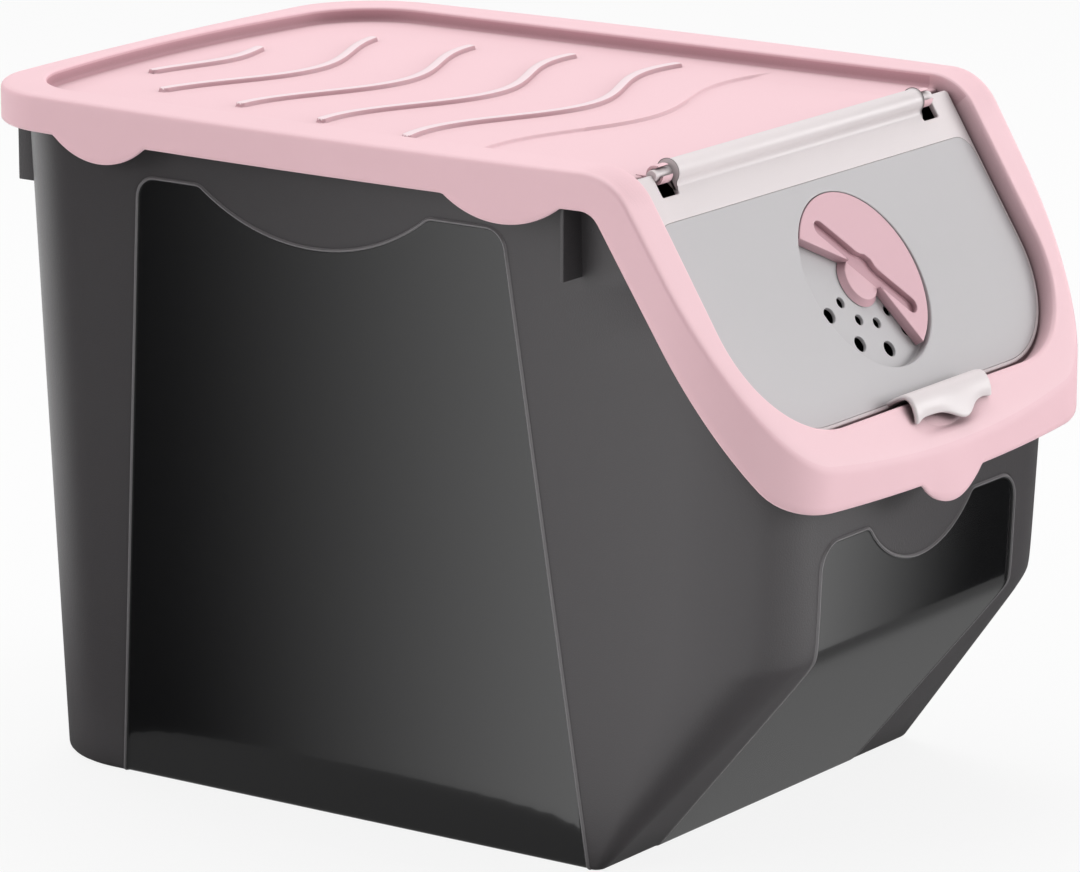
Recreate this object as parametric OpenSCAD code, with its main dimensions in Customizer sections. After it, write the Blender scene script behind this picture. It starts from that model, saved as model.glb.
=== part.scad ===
// Potato storage bin: a tapered tub, a hood-shaped lid with a sloping front,
// a hinged door with a face panel, and a half-disc that turns in a round
// recess to open or close the vent holes.
// Frame: +Z up, the front faces -Y, the origin is at the centre of the
// bin's footprint, on the surface that it stands on.

/* [Overall] */
// Length of the lid, front to rear
lid_length = 398; // [370:1:430]
// Width of the lid at its widest
lid_width = 276; // [260:1:300]
// Height of the closed bin
height = 282; // [270:1:300]

/* [Lid] */
// Wall of the lid
lid_wall = 1.6; // [1.4:0.1:2]
// Distance from the front of the lid back to the corner of the slope
slope_run = 74; // [70:1:80]
// Angle of the slope from the horizontal
slope_angle = 58; // [55:1:61]
// Radius of the bend between the top and the slope
bend_r = 24.5; // [20:0.5:30]
// Height of the skirt round the lid
skirt_h = 15; // [13:0.5:17]
// Height of the lid from its lower front edge to its top
lid_front_h = 132; // [128:1:136]
// Radius of the skirt's lower edge where the slope levels out
skirt_blend_r = 30; // [24:1:36]
// Corner radius of the lid at the front
lid_front_r = 46; // [38:1:52]
// Corner radius of the lid at the rear
lid_rear_r = 40; // [34:1:48]
// How far the sides bow outwards
side_bow = 8; // [4:0.5:10]
// How far the front bows outwards
front_bow = 8.5; // [4:0.5:10]
// How far the rear bows outwards
rear_bow = 6; // [3:0.5:8]
// Width of the raised rim at the sides
rim_side = 22.5; // [21:0.5:25]
// Width of the raised rim at the rear
rim_rear = 10.5; // [10:0.5:14]
// How far the rear edge of the recess bows outwards
recess_bow = 18; // [8:1:20]
// Depth of the top panel below the rim
recess_d = 6.2; // [6:0.1:7.5]
// Corner radius of the recess at the rear
recess_r = 32; // [28:1:38]
// Height of the finger tabs below the skirt
tab_drop = 9; // [6:0.5:11]
// Radius of the finger tabs
tab_r = 44; // [38:1:52]
// Place of the rear finger tabs, from the middle of the lid
tab_rear_y = 121; // [110:1:128]
// Place of the front finger tabs, from the middle of the lid
tab_front_y = 76; // [70:1:82]

/* [Top panel waves] */
// Distance between one wave groove and the next
wave_pitch = 45.9; // [40:0.1:48]
// Place of the front wave groove, from the middle of the lid
wave_front_y = -11; // [-16:1:-6]
// Half the height of a wave
wave_rise = 11.6; // [8:0.2:13]
// Length of one full wave across the lid
wave_length = 158; // [140:1:176]
// Half the length of the front wave groove
wave_half = 96; // [88:1:102]
// How much shorter each groove is than the one in front, at each end
wave_step = 7.8; // [5:0.1:10]
// Width of a wave groove
wave_w = 4; // [3:0.5:5]
// Depth of a wave groove
wave_d = 0.7; // [0.5:0.1:0.9]
// How far the field in front of the waves is lowered
field_d = 0.5; // [0.3:0.1:0.7]

/* [Door] */
// Depth of the door's face below the rim
door_face = 7; // [6.5:0.5:8]
// Thickness of the door
door_t = 2.2; // [2:0.1:2.6]
// Gap round the door
door_gap = 1.5; // [1.2:0.1:2]
// Gap between the door and the ledge that it closes on
door_rest = 0.3; // [0.2:0.1:0.5]
// Distance down the slope to the bottom edge of the door
door_len = 117.2; // [112:0.2:119]
// Radius of the bottom corners of the door
door_r = 47; // [38:1:50]
// Width of the ledge that the door closes on
ledge_w = 6; // [5:0.5:8]
// Height of the white band at the top of the door
band_h = 22.5; // [20:0.5:25]
// Width of the white margin round the face panel
margin_w = 1.5; // [1.2:0.1:2.5]
// Thickness of the face panel
inlay_t = 0.9; // [0.8:0.1:1]
// Radius of the upper corners of the grey panel
inlay_r = 9; // [7:0.5:11]
// Gap round the face panel
inlay_gap = 0.1; // [0.05:0.05:0.2]

/* [Hinge] */
// Distance down the slope to the hinge axis
hinge_s = 3; // [2.5:0.5:4]
// Depth of the hinge axis below the rim
hinge_d = 7.5; // [7:0.1:8]
// Radius of the hinge barrel
barrel_r = 4.7; // [4.3:0.1:5]
// Half the length of the hinge barrel
barrel_half = 88.5; // [84:0.5:92]
// Width of the notches in the door
notch_w = 11; // [10:0.5:13]
// Distance down the slope to the bottom of the notches
notch_s = 12.4; // [11:0.2:14]
// Radius of the hinge pins
pin_r = 2.5; // [2.2:0.1:2.8]
// Running clearance between a hinge pin and its clip
pin_gap = 0.05; // [0.03:0.01:0.1]
// Wall of the hinge clips on the lid
clip_wall = 1.9; // [1.5:0.1:2]
// Gap at each side of a hinge clip
clip_gap = 2; // [1.5:0.5:3]
// How far the arm of each clip runs back past the barrel
clip_arm = 4; // [3:0.5:5]
// Gap between the hinge barrel and the edge of the top panel
barrel_gap = 0.5; // [0.4:0.1:1]

/* [Latch lip] */
// Half the width of the latch lip
lip_half = 31; // [26:1:36]
// How far the lip reaches past the bottom edge of the door
lip_reach = 15; // [13:0.5:16]
// Thickness of the lip
lip_t = 2; // [1.6:0.1:2.4]
// Gap between the lip and the chin of the lid
lip_gap = 1; // [0.6:0.1:1.6]
// Size of the slanted edges of the latch lip
lip_edge = 1; // [0.6:0.1:1.4]
// Radius of the two scallops in the lip
scallop_r = 8; // [6:0.5:9]

/* [Vent] */
// Radius of the round recess
vent_r = 36.6; // [33:0.2:38]
// Distance down the slope to the centre of the vent
vent_s = 65; // [62:0.5:68]
// Depth of the round recess
vent_d = 4.5; // [4:0.1:5.5]
// Wall of the cup that forms the recess
cup_wall = 1.4; // [1.2:0.1:1.8]
// Radius of the circle of large holes
big_ring_r = 30; // [28:0.5:31]
// Radius of the large holes
big_hole_r = 3; // [2.4:0.1:3.4]
// Radius of the circle of small holes
small_ring_r = 18.5; // [17:0.5:20]
// Radius of the small holes
small_hole_r = 2; // [1.5:0.1:2.4]
// Angle between one pair of holes and the next
hole_step = 36; // [32:1:38]
// Direction of the middle of the holes, from the right hand
hole_middle = -106; // [-112:1:-100]

/* [Vent dial] */
// Gap round the dial
dial_gap = 0.3; // [0.2:0.1:0.5]
// How far the straight edge lies beyond the centre
dial_edge = 6.2; // [5:0.2:8]
// Direction of the straight edge, from the right hand
dial_turn = -46.3; // [-52:0.1:-40]
// Radius of the thumb hub
hub_r = 11; // [9:0.5:12]
// Depth of the thumb hub's top below the face of the dial
hub_d = 1.2; // [0.8:0.1:2]
// Distance of the groove from the centre
groove_y = 5; // [4:0.5:7]
// Half the length of the groove
groove_half = 28; // [24:1:30]
// Width of the groove
groove_w = 3.6; // [3:0.1:4.4]
// Depth of the groove
groove_d = 2; // [1.5:0.1:2.6]
// Radius of the pivot under the dial
pivot_r = 3; // [2.6:0.1:3.6]
// How far the snap head stands out round the pivot
snap_out = 1.3; // [1:0.1:1.8]
// Thickness of the snap head
snap_t = 1.2; // [1:0.1:1.6]

/* [Tub] */
// Wall of the tub
tub_wall = 2; // [1.8:0.1:2.2]
// Thickness of the tub's floor
tub_floor = 2.4; // [2:0.1:3]
// Draft of the sides and the rear
draft = 1.8; // [1.4:0.1:2.2]
// Draft of the front wall
front_draft = 2.4; // [1.8:0.1:3]
// Gap between the underside of the lid's recess and the tub
tray_gap = 0.5; // [0.4:0.1:1]
// Gap between the lid and the tub's rim
rim_gap = 0.3; // [0.2:0.1:0.5]
// How far the lid overhangs the tub's front wall
front_overhang = 20; // [17:0.5:22]
// Height of the knee where the front wall turns inwards
knee_z = 87; // [80:1:94]
// How far the base edge is set back from the knee
foot_setback = 73; // [66:1:80]
// Corner radius of the tub at the rear
tub_rear_r = 42; // [36:1:46]
// Corner radius of the tub at the front
tub_front_r = 38; // [32:1:42]
// Radius where the slanted front meets the sides at the base
foot_r = 3; // [2:0.5:5]
// Thickness of the tub's outer flange
flange_t = 3; // [2.4:0.2:3.6]
// Gap between the flange and the lid's skirt
flange_gap = 0.8; // [0.6:0.1:1.2]
// Depth of the bead that carries the flange across the front
bead_d = 9; // [8:0.5:10]
// Thickness of the nesting ribs
rib_t = 1.6; // [1.4:0.2:2.4]
// Distance from the top of the bin down to the lower end of the nesting ribs
rib_drop = 44; // [36:1:50]
// Place of the side ribs, from the middle of the lid
rib_side_y = 102; // [96:1:106]
// Place of the rear ribs, from the middle of the lid
rib_rear_x = 98; // [90:1:101]

/* [Tub panels] */
// Depth of the gloss panels in the tub
panel_d = 0.8; // [0.6:0.1:1]
// Distance from the top of the bin down to the top edge of the side panels
side_top_drop = 30; // [28:1:36]
// Rear edge of the side panels at their top
side_rear_y = 112; // [106:1:116]
// Front edge of the side panels at their top
side_front_y = 66; // [62:1:70]
// How much the side panels widen at each end down to the base
side_flare_rear = 18; // [14:1:22]
// How much the side panels widen at the front down to the base
side_flare_front = 35; // [30:1:40]
// Middle of the scallop in the side panels
side_scallop_y = 25; // [20:1:30]
// Half the width of the scallop in the side panels
side_scallop_half = 56; // [50:1:60]
// Depth of the scallops
scallop_d = 19; // [16:0.5:21]
// Distance from the top of the bin down to the top edge of the front panel
front_top_drop = 148; // [144:1:154]
// Half the width of the front panel
front_half = 72; // [68:1:74]
// Half the width of the scallop in the front panel
front_scallop_half = 38; // [34:1:42]
// Size of the slanted corners of the gloss panels
panel_corner = 7; // [5:1:10]

/* [Hidden] */
$fn = 64;
eps = 0.02;
far = 400;
steps = 8;

lid_half = lid_length/2;
corner_y = -lid_half + slope_run;
recess_half = lid_width/2 - rim_side;
recess_rear_y = lid_half - rim_rear;
panel_z = height - recess_d;
tray_z = panel_z - lid_wall;
door_half = recess_half - door_gap;
ledge_d = door_face + door_t + door_rest;
opening_s = door_len + door_gap;
bend_y = corner_y + bend_r*tan(slope_angle/2);
bend_z = height - bend_r;
seat_d = lid_wall + rim_gap;
skirt_front_z = height - lid_front_h;
side_top_z = height - side_top_drop;
front_top_z = height - front_top_drop;
rib_z = height - rib_drop;

clip_r = pin_r + pin_gap + clip_wall;
notch_out = barrel_half + notch_w;
pin_bed = 2.5;
vent_floor = door_face + vent_d;

// sides of the tub clear the lid's recess where the door's corners begin
clear_z = height - (door_len - door_r)*sin(slope_angle) - ledge_d*cos(slope_angle);
grip = tray_gap + tub_wall;
front_k = tan(front_draft);
knee_y = -lid_half + front_overhang;
foot_k = foot_setback/knee_z;

// side view of the hood: a point s down the slope and d below the rim
function slope_point(s, d) = [
    corner_y - s*cos(slope_angle) + d*sin(slope_angle),
    height - s*sin(slope_angle) - d*cos(slope_angle)];
function backwards(list) = [for (i = [len(list)-1:-1:0]) list[i]];
function bend_points(d) = [for (i = [0:steps])
    let (a = slope_angle*i/steps)
    [bend_y - (bend_r - d)*sin(a), bend_z + (bend_r - d)*cos(a)]];
function hood_line(d) = concat([[far, height - d]], bend_points(d), [slope_point(far, d)]);
function under_hood(d) = concat(hood_line(d), [[-far, -far], [far, -far]]);

// lower edge of the skirt: along the hood, then levelling out at the front
blend_s = (height - skirt_h*cos(slope_angle) - skirt_front_z
    - skirt_blend_r*(1 - cos(slope_angle)))/sin(slope_angle);
blend_y = slope_point(blend_s, skirt_h)[0] - skirt_blend_r*sin(slope_angle);
blend_points = [for (i = [0:steps])
    let (a = slope_angle*(1 - i/steps))
    [blend_y + skirt_blend_r*sin(a), skirt_front_z + skirt_blend_r*(1 - cos(a))]];
skirt_line = concat([[far, height - skirt_h]], bend_points(skirt_h), blend_points);
front_s = (height - skirt_front_z)/sin(slope_angle);
hood_side = concat([[far, height]], bend_points(0), [slope_point(front_s, 0)], backwards(skirt_line));

// plan outlines: a rounded rectangle, whose edges then bow outwards
function arc(cx, cy, r, a0) = [for (i = [0:steps])
    let (a = a0 + 90*i/steps) [cx + r*cos(a), cy + r*sin(a)]];
function between(p, q, n) = [for (i = [1:n-1]) p + (q - p)*i/n];
function closed(arcs) = [for (k = [0:3])
    each concat(arcs[k], between(arcs[k][steps], arcs[(k + 1)%4][0], steps))];
function rounded(xh, y0, y1, r0, r1) = closed([
    arc(xh - r1, y1 - r1, r1, 0), arc(-xh + r1, y1 - r1, r1, 90),
    arc(-xh + r0, y0 + r0, r0, 180), arc(xh - r0, y0 + r0, r0, 270)]);
function bowed(points, side, front, rear) = [for (p = points)
    let (u = p[0]/(lid_width/2), v = p[1]/lid_half)
    [p[0]*(1 - side*v*v/(lid_width/2)), p[1] - v*u*u*(v < 0 ? front : rear)]];
function lid_plan(in) = bowed(
    rounded(lid_width/2 - in, -lid_half + in, lid_half - in, lid_front_r - in, lid_rear_r - in),
    side_bow, front_bow, rear_bow);
function recess_plan(out) = bowed(
    rounded(recess_half + out, corner_y, recess_rear_y + out, 1, recess_r + out),
    0, 0, recess_bow);
function opening(out) = rounded(recess_half + out, -opening_s - out, far/8, door_r + door_gap + out, 1);

module side_slab(points) {
    rotate([90, 0, 90]) linear_extrude(lid_width + far, center = true) polygon(points);
}

module plan_slab(points, z0, z1) {
    translate([0, 0, z0]) linear_extrude(z1 - z0) polygon(points);
}

// local frame of the slope: x to the right, y up the slope, z outwards
module on_slope() {
    translate([0, corner_y, height]) rotate([slope_angle, 0, 0]) children();
}

module across(r, x0, x1, s, d) {
    on_slope() translate([x0, -s, -d]) rotate([0, 90, 0]) cylinder(h = x1 - x0, r = r);
}

module both_sides() {
    children();
    mirror([1, 0, 0]) children();
}

// the hollow of the lid's recess and door frame, grown outwards and downwards
module recess_form(out, down) {
    plan_slab(recess_plan(out), panel_z - down, height + far/8);
    on_slope() translate([0, 0, -ledge_d - down])
        linear_extrude(ledge_d + down + far/8) polygon(opening(out));
}

module lid_shell() {
    difference() {
        intersection() {
            plan_slab(lid_plan(0), 0, height);
            side_slab(hood_side);
        }
        intersection() {
            plan_slab(lid_plan(lid_wall), 0, height);
            side_slab(under_hood(lid_wall));
        }
    }
}

module tray() {
    intersection() {
        recess_form(lid_wall, lid_wall);
        side_slab(under_hood(lid_wall/2));
        plan_slab(lid_plan(lid_wall/2), 0, height);
    }
}

// finger tabs: round segments below the skirt, cut from its wall
module finger_tabs() {
    low_z = height - skirt_h - tab_drop;
    front_low_z = skirt_front_z - tab_drop;
    intersection() {
        difference() {
            plan_slab(lid_plan(0), 0, height);
            plan_slab(lid_plan(lid_wall), -1, height + 1);
        }
        union() {
            for (y = [tab_rear_y, -tab_front_y])
                intersection() {
                    translate([-lid_width, y, low_z + tab_r]) rotate([0, 90, 0])
                        cylinder(h = 2*lid_width, r = tab_r);
                    translate([-lid_width, y - tab_r, low_z - 1])
                        cube([2*lid_width, 2*tab_r, tab_drop + 1 + lid_wall]);
                }
            intersection() {
                translate([0, 0, front_low_z + tab_r]) rotate([90, 0, 0])
                    cylinder(h = lid_length, r = tab_r);
                translate([-tab_r, -lid_length, front_low_z - 1])
                    cube([2*tab_r, lid_length, tab_drop + 1 + lid_wall]);
            }
        }
    }
}

// centre line of a wave groove, and a strip of even width along it
function wave_y(x) = -wave_rise*cos(360*x/wave_length);
function wave_strip(y, x0, x1, w) =
    let (n = 24, xs = [for (i = [0:n]) x0 + (x1 - x0)*i/n])
    concat([for (x = xs) [x, y + wave_y(x) - w/2]],
        [for (i = [n:-1:0]) [xs[i], y + wave_y(xs[i]) + w/2]]);
field_y = wave_front_y - 0.73*wave_pitch;
field_half = recess_half - wave_w;

module waves() {
    for (k = [0:3]) {
        half = wave_half - k*wave_step;
        plan_slab(wave_strip(wave_front_y + k*wave_pitch, -half, half, wave_w), panel_z - wave_d, height);
    }
    plan_slab(wave_strip(wave_front_y + 4*wave_pitch, -wave_half/3, wave_half/3, wave_w),
        panel_z - wave_d, height);
    plan_slab(concat([for (x = [-field_half:field_half/12:field_half]) [x, field_y + 0.75*wave_y(x)]],
        [[field_half, corner_y], [-field_half, corner_y]]), panel_z - field_d, height);
}

// the way through the lid that the door closes, up to the edge of the top panel
module door_way() {
    axis_y = slope_point(hinge_s, hinge_d)[0];
    edge_y = axis_y + barrel_r + barrel_gap;
    translate([-recess_half, axis_y, tray_z - clip_r]) cube([2*recess_half, edge_y - axis_y, height]);
    intersection() {
        on_slope() translate([0, 0, -far/8]) linear_extrude(far/4)
            polygon(rounded(recess_half - ledge_w, -opening_s + ledge_w, far/8,
                door_r + door_gap - ledge_w, 1));
        translate([-lid_width, edge_y - far, -far]) cube([2*lid_width, far, 2*far]);
    }
}

module hinge_clip() {
    axis = slope_point(hinge_s, hinge_d);
    slot_w = 1.6*pin_r;
    translate([barrel_half + clip_gap, 0, 0]) rotate([90, 0, 90])
        linear_extrude(notch_w - 2*clip_gap) difference() {
            union() {
                translate(axis) circle(r = clip_r);
                translate([axis[0], axis[1] - clip_r])
                    square([barrel_r + clip_arm, tray_z - axis[1] + clip_r + lid_wall/2]);
            }
            translate(axis) {
                circle(r = pin_r + pin_gap);
                rotate(slope_angle) translate([-slot_w/2, 0]) square([slot_w, 2*clip_r]);
            }
        }
}

module lid() {
    color("#f4cdd3") {
        difference() {
            union() {
                lid_shell();
                tray();
                finger_tabs();
            }
            recess_form(0, 0);
            waves();
            door_way();
        }
        both_sides() hinge_clip();
    }
}

module latch_lip() {
    top_s = door_len - margin_w;
    tip_s = door_len + lip_reach;
    high = lip_gap + lip_t;
    difference() {
        on_slope() translate([lip_half, 0, 0]) rotate([90, 0, -90]) linear_extrude(2*lip_half)
            polygon([[top_s, -door_face - door_t/2], [top_s, high - lip_edge],
                [top_s + lip_edge, high], [tip_s - lip_edge, high], [tip_s, high - lip_edge],
                [tip_s, lip_gap],
                [top_s + lip_t, lip_gap], [top_s + lip_t, -door_face - door_t/2]]);
        on_slope() for (x = [-1, 1]) translate([x*0.58*lip_half, -tip_s - 0.35*scallop_r, 0])
            cylinder(h = far/8, r = scallop_r);
    }
}

module door() {
    outline = rounded(door_half, -door_len, -hinge_s, door_r, 2);
    face = rounded(door_half - margin_w, -door_len + margin_w, -band_h, door_r - margin_w, inlay_r);
    color("#efe9e9") {
        difference() {
            union() {
                on_slope() translate([0, 0, -door_face - door_t])
                    linear_extrude(door_t) polygon(outline);
                across(barrel_r, -barrel_half, barrel_half, hinge_s, hinge_d);
            }
            both_sides() on_slope() translate([barrel_half, -notch_s, -far/8])
                cube([notch_w, far/8, far/4]);
            on_slope() translate([0, 0, -door_face - inlay_t - inlay_gap])
                linear_extrude(far/8) polygon(face);
            on_slope() translate([0, -vent_s, -far/8])
                cylinder(h = far/4, r = vent_r + cup_wall + inlay_gap);
        }
        both_sides() across(pin_r, barrel_half - pin_bed, notch_out + pin_bed, hinge_s, hinge_d);
        latch_lip();
    }
}

module door_panel() {
    face = rounded(door_half - margin_w - inlay_gap, -door_len + margin_w + inlay_gap,
        -band_h - inlay_gap, door_r - margin_w - inlay_gap, inlay_r);
    color("#c5c4c4") on_slope() difference() {
        union() {
            translate([0, 0, -door_face - inlay_t]) linear_extrude(inlay_t) polygon(face);
            translate([0, -vent_s, -vent_floor - cup_wall])
                cylinder(h = vent_d + cup_wall, r = vent_r + cup_wall);
        }
        translate([0, -vent_s, -vent_floor]) cylinder(h = far/8, r = vent_r);
        translate([0, -vent_s, -far/8]) {
            cylinder(h = far/4, r = pivot_r + pin_gap);
            for (k = [-1.5:1.5]) rotate([0, 0, hole_middle + k*hole_step]) {
                translate([big_ring_r, 0, 0]) cylinder(h = far/4, r = big_hole_r);
                translate([small_ring_r, 0, 0]) cylinder(h = far/4, r = small_hole_r);
            }
        }
    }
}

module vent_dial() {
    low = -vent_floor + dial_gap;
    head_z = -vent_floor - cup_wall - dial_gap;
    color("#e2b8c0") on_slope() translate([0, -vent_s, 0]) rotate([0, 0, dial_turn]) {
        difference() {
            union() {
                difference() {
                    translate([0, 0, low]) cylinder(h = -door_face - low, r = vent_r - dial_gap);
                    translate([-far/2, -dial_edge - far, -far/2]) cube(far);
                }
                translate([0, 0, low]) cylinder(h = -door_face - hub_d - low, r = hub_r);
            }
            translate([-groove_half, groove_y - groove_w/2, -door_face - groove_d])
                cube([2*groove_half, groove_w, far/8]);
            for (x = [-1, 1]) translate([x*groove_half, groove_y, -door_face - groove_d])
                cylinder(h = far/8, r = groove_w/2);
        }
        translate([0, 0, head_z]) cylinder(h = low - head_z + eps, r = pivot_r);
        translate([0, 0, head_z - snap_t]) cylinder(h = snap_t, r = pivot_r + snap_out);
    }
}

// outline of the tub at height z, set in by w; the front turns inwards below the knee
function tub_half(z) = recess_half + lid_wall + grip + (z - clear_z)*tan(draft);
function tub_rear(z) = recess_rear_y + lid_wall + grip + (z - tray_z)*tan(draft);
function foot_y(z, w) = knee_y + foot_k*(knee_z - z) + w*sqrt(1 + foot_k*foot_k);
function front_y(z, w) = knee_y - front_k*(z - knee_z) + w*sqrt(1 + front_k*front_k);
function knee_up(w) = knee_z
    + w*(sqrt(1 + foot_k*foot_k) - sqrt(1 + front_k*front_k))/(foot_k - front_k);
function tub_plan(z, w) = bowed(rounded(tub_half(z) - w,
    z < knee_up(w) - eps ? foot_y(z, w) : front_y(z, w), tub_rear(z) - w,
    z < knee_up(w) - eps ? foot_r : tub_front_r - w, tub_rear_r - w), 0, 0, rear_bow);

module tub_form(w, z0) {
    hull() {
        plan_slab(tub_plan(z0, w), z0, z0 + eps);
        plan_slab(tub_plan(knee_up(w), w), knee_up(w) - eps, knee_up(w));
        plan_slab(tub_plan(height, w), height, height + eps);
    }
}

function scallop_points(middle, half, top) =
    let (r = (half*half + scallop_d*scallop_d)/(2*scallop_d), a = asin(half/r))
    [for (i = [0:2*steps]) let (t = -a + a*i/steps)
        [middle + r*sin(t), top - scallop_d + r*(1 - cos(t))]];

// outlines of the gloss panels, seen from the side and from the front
side_panel = concat(
    [[-side_front_y - side_flare_front, -1], [-side_front_y, side_top_z - panel_corner],
     [-side_front_y + panel_corner, side_top_z]],
    scallop_points(side_scallop_y, side_scallop_half, side_top_z),
    [[side_rear_y - panel_corner, side_top_z], [side_rear_y, side_top_z - panel_corner],
     [side_rear_y + side_flare_rear, -1]]);
front_panel = concat(
    [[-front_half, -1], [-front_half, front_top_z - panel_corner],
     [-front_half + panel_corner, front_top_z]],
    scallop_points(0, front_scallop_half, front_top_z),
    [[front_half - panel_corner, front_top_z], [front_half, front_top_z - panel_corner],
     [front_half, -1]]);

module panel_cuts() {
    difference() {
        union() {
            side_slab(side_panel);
            translate([0, eps, 0]) rotate([90, 0, 0]) linear_extrude(lid_length)
                polygon(front_panel);
        }
        tub_form(panel_d, -2);
    }
}

// keeps the tub's wall whole where it passes round the lid's door frame
module frame_cover() {
    out = lid_wall + tray_gap + tub_wall;
    intersection() {
        on_slope() translate([0, 0, -ledge_d - out]) linear_extrude(ledge_d + out)
            polygon(opening(out));
        side_slab(under_hood(seat_d));
        plan_slab(lid_plan(lid_wall + flange_gap), 0, height);
    }
}

module nesting_ribs() {
    both_sides() translate([tub_half(rib_z) - tub_wall/2, -rib_side_y, rib_z])
        cube([lid_width/2, rib_t, height]);
    both_sides() translate([rib_rear_x, tub_rear(rib_z) - tub_wall/2 - tub_rear_r/4, rib_z])
        cube([rib_t, lid_length/2, height]);
}

module tub() {
    color("#3f3d3e") difference() {
        union() {
            tub_form(0, 0);
            frame_cover();
            intersection() {
                plan_slab(lid_plan(lid_wall + flange_gap), 0, height);
                union() {
                    side_slab(concat(hood_line(seat_d), backwards(hood_line(seat_d + flange_t))));
                    intersection() {
                        side_slab(concat(hood_line(seat_d), backwards(hood_line(seat_d + bead_d))));
                        translate([-lid_width, -lid_length, 0])
                            cube([2*lid_width, lid_length + knee_y + tub_front_r/2, height]);
                    }
                    nesting_ribs();
                }
            }
        }
        panel_cuts();
        tub_form(tub_wall, tub_floor);
        difference() {
            translate([-far, -far, 0]) cube(2*far);
            side_slab(under_hood(seat_d));
        }
        recess_form(lid_wall + tray_gap, lid_wall + tray_gap);
    }
}

tub();
lid();
door();
door_panel();
vent_dial();
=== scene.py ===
from math import asin, atan2, cos, pi, radians, sin, sqrt, tan

import bmesh
import bpy
import numpy as np
from mathutils import Matrix, Vector
from mathutils.geometry import delaunay_2d_cdt


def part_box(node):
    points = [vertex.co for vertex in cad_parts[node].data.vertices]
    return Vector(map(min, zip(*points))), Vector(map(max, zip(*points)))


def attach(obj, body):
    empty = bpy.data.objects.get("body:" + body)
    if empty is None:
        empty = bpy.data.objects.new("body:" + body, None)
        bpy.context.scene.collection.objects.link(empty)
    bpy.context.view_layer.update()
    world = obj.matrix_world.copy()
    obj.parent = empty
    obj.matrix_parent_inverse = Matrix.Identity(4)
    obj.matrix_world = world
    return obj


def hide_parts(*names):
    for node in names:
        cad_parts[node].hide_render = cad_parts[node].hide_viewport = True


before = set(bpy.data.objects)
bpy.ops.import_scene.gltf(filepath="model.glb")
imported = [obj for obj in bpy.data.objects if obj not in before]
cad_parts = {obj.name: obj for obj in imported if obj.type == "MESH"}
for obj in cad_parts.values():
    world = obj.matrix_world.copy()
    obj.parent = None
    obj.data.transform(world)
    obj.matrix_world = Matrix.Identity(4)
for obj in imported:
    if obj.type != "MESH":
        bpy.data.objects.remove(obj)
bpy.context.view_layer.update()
print("frame loaded")

# lengths are in millimetres, and a mesh is written in metres; x, y, z are places, s is a distance down
# the door's slope, d a depth below the hood's surface and u a distance along the hood's side view
mm = 0.001
lidHigh = np.array(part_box("lid")[1]) / mm

photo = {
    "width": 1080, "focal": 6136.67,      # pixels
    "azimuth": radians(-54.9), "elevation": radians(13.88), "distance": 2498.08,
    "aim": (0, -1, 150), "aimRight": -1.86, "aimUp": -12.4, "sensor": 36, "farEnd": 50,
}


# The camera stands at a distance along a ray given by two angles, and its matrix holds its three axes.
def makeCamera():
    turn, tilt = photo["azimuth"], photo["elevation"]
    right = np.array([cos(turn), sin(turn), 0])
    back = np.array([sin(turn) * cos(tilt), -cos(turn) * cos(tilt), sin(tilt)])
    up = np.cross(back, right)
    aim = np.array(photo["aim"]) + photo["aimRight"] * right + photo["aimUp"] * up
    data = bpy.data.cameras.new("camera")
    data.sensor_fit = "HORIZONTAL"
    data.sensor_width = photo["sensor"]
    data.lens = photo["sensor"] * photo["focal"] / photo["width"]
    data.clip_end = photo["farEnd"]
    camera = bpy.data.objects.new("camera", data)
    axes = np.column_stack([right, up, back, (aim + photo["distance"] * back) * mm])
    camera.matrix_world = Matrix(axes.tolist() + [[0, 0, 0, 1]])
    bpy.context.scene.collection.objects.link(camera)
    bpy.context.scene.camera = camera


makeCamera()
print("camera placed")

# the hood is the lid's outer form: a flat top, a round bend and a straight slope
hood = {
    "height": lidHigh[2], "halfLength": lidHigh[1], "halfWidth": lidHigh[0],
    "slopeRun": 74, "angle": radians(58), "bend": 24.5,
    "frontR": 46, "rearR": 40, "sideBow": 8, "frontBow": 8.5, "rearBow": 6,
}
hoodTop, angle, bendR = hood["height"], hood["angle"], hood["bend"]
cornerY = -hood["halfLength"] + hood["slopeRun"]     # where the lines of the top and the slope cross
bendY = cornerY + bendR * tan(angle / 2)
bendZ = hoodTop - bendR
bendEnd = bendY - bendR * angle                      # the u at which the straight slope starts
bendReach = bendR * tan(angle / 2)                   # the same place as a distance down the slope


# Point of the side view: a straight, an arc of the bend's angle and a straight, all moved in by d.
def hoodAt(u, d):
    u, d = np.broadcast_arrays(np.asarray(u, float), np.asarray(d, float))
    turn = np.clip((bendY - u) / bendR, 0, angle)
    run, flat = np.maximum(bendEnd - u, 0), np.maximum(u - bendY, 0)
    y = bendY + flat - (bendR - d) * np.sin(turn) - run * cos(angle)
    z = bendZ + (bendR - d) * np.cos(turn) - run * sin(angle)
    return y, z


# The u of a distance down the slope.
def uOfSlope(s):
    return bendEnd - (np.asarray(s, float) - bendReach)


# The u of the hood's outer line at a given y: straight, arcsine on the bend, straight.
def uOfY(y):
    y = np.asarray(y, float)
    onBend = bendY - bendR * np.arcsin(np.clip((bendY - y) / bendR, 0, sin(angle)))
    onSlope = uOfSlope((cornerY - y) / cos(angle))
    return np.where(y >= bendY, y, np.where(bendY - y <= bendR * sin(angle), onBend, onSlope))


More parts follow.
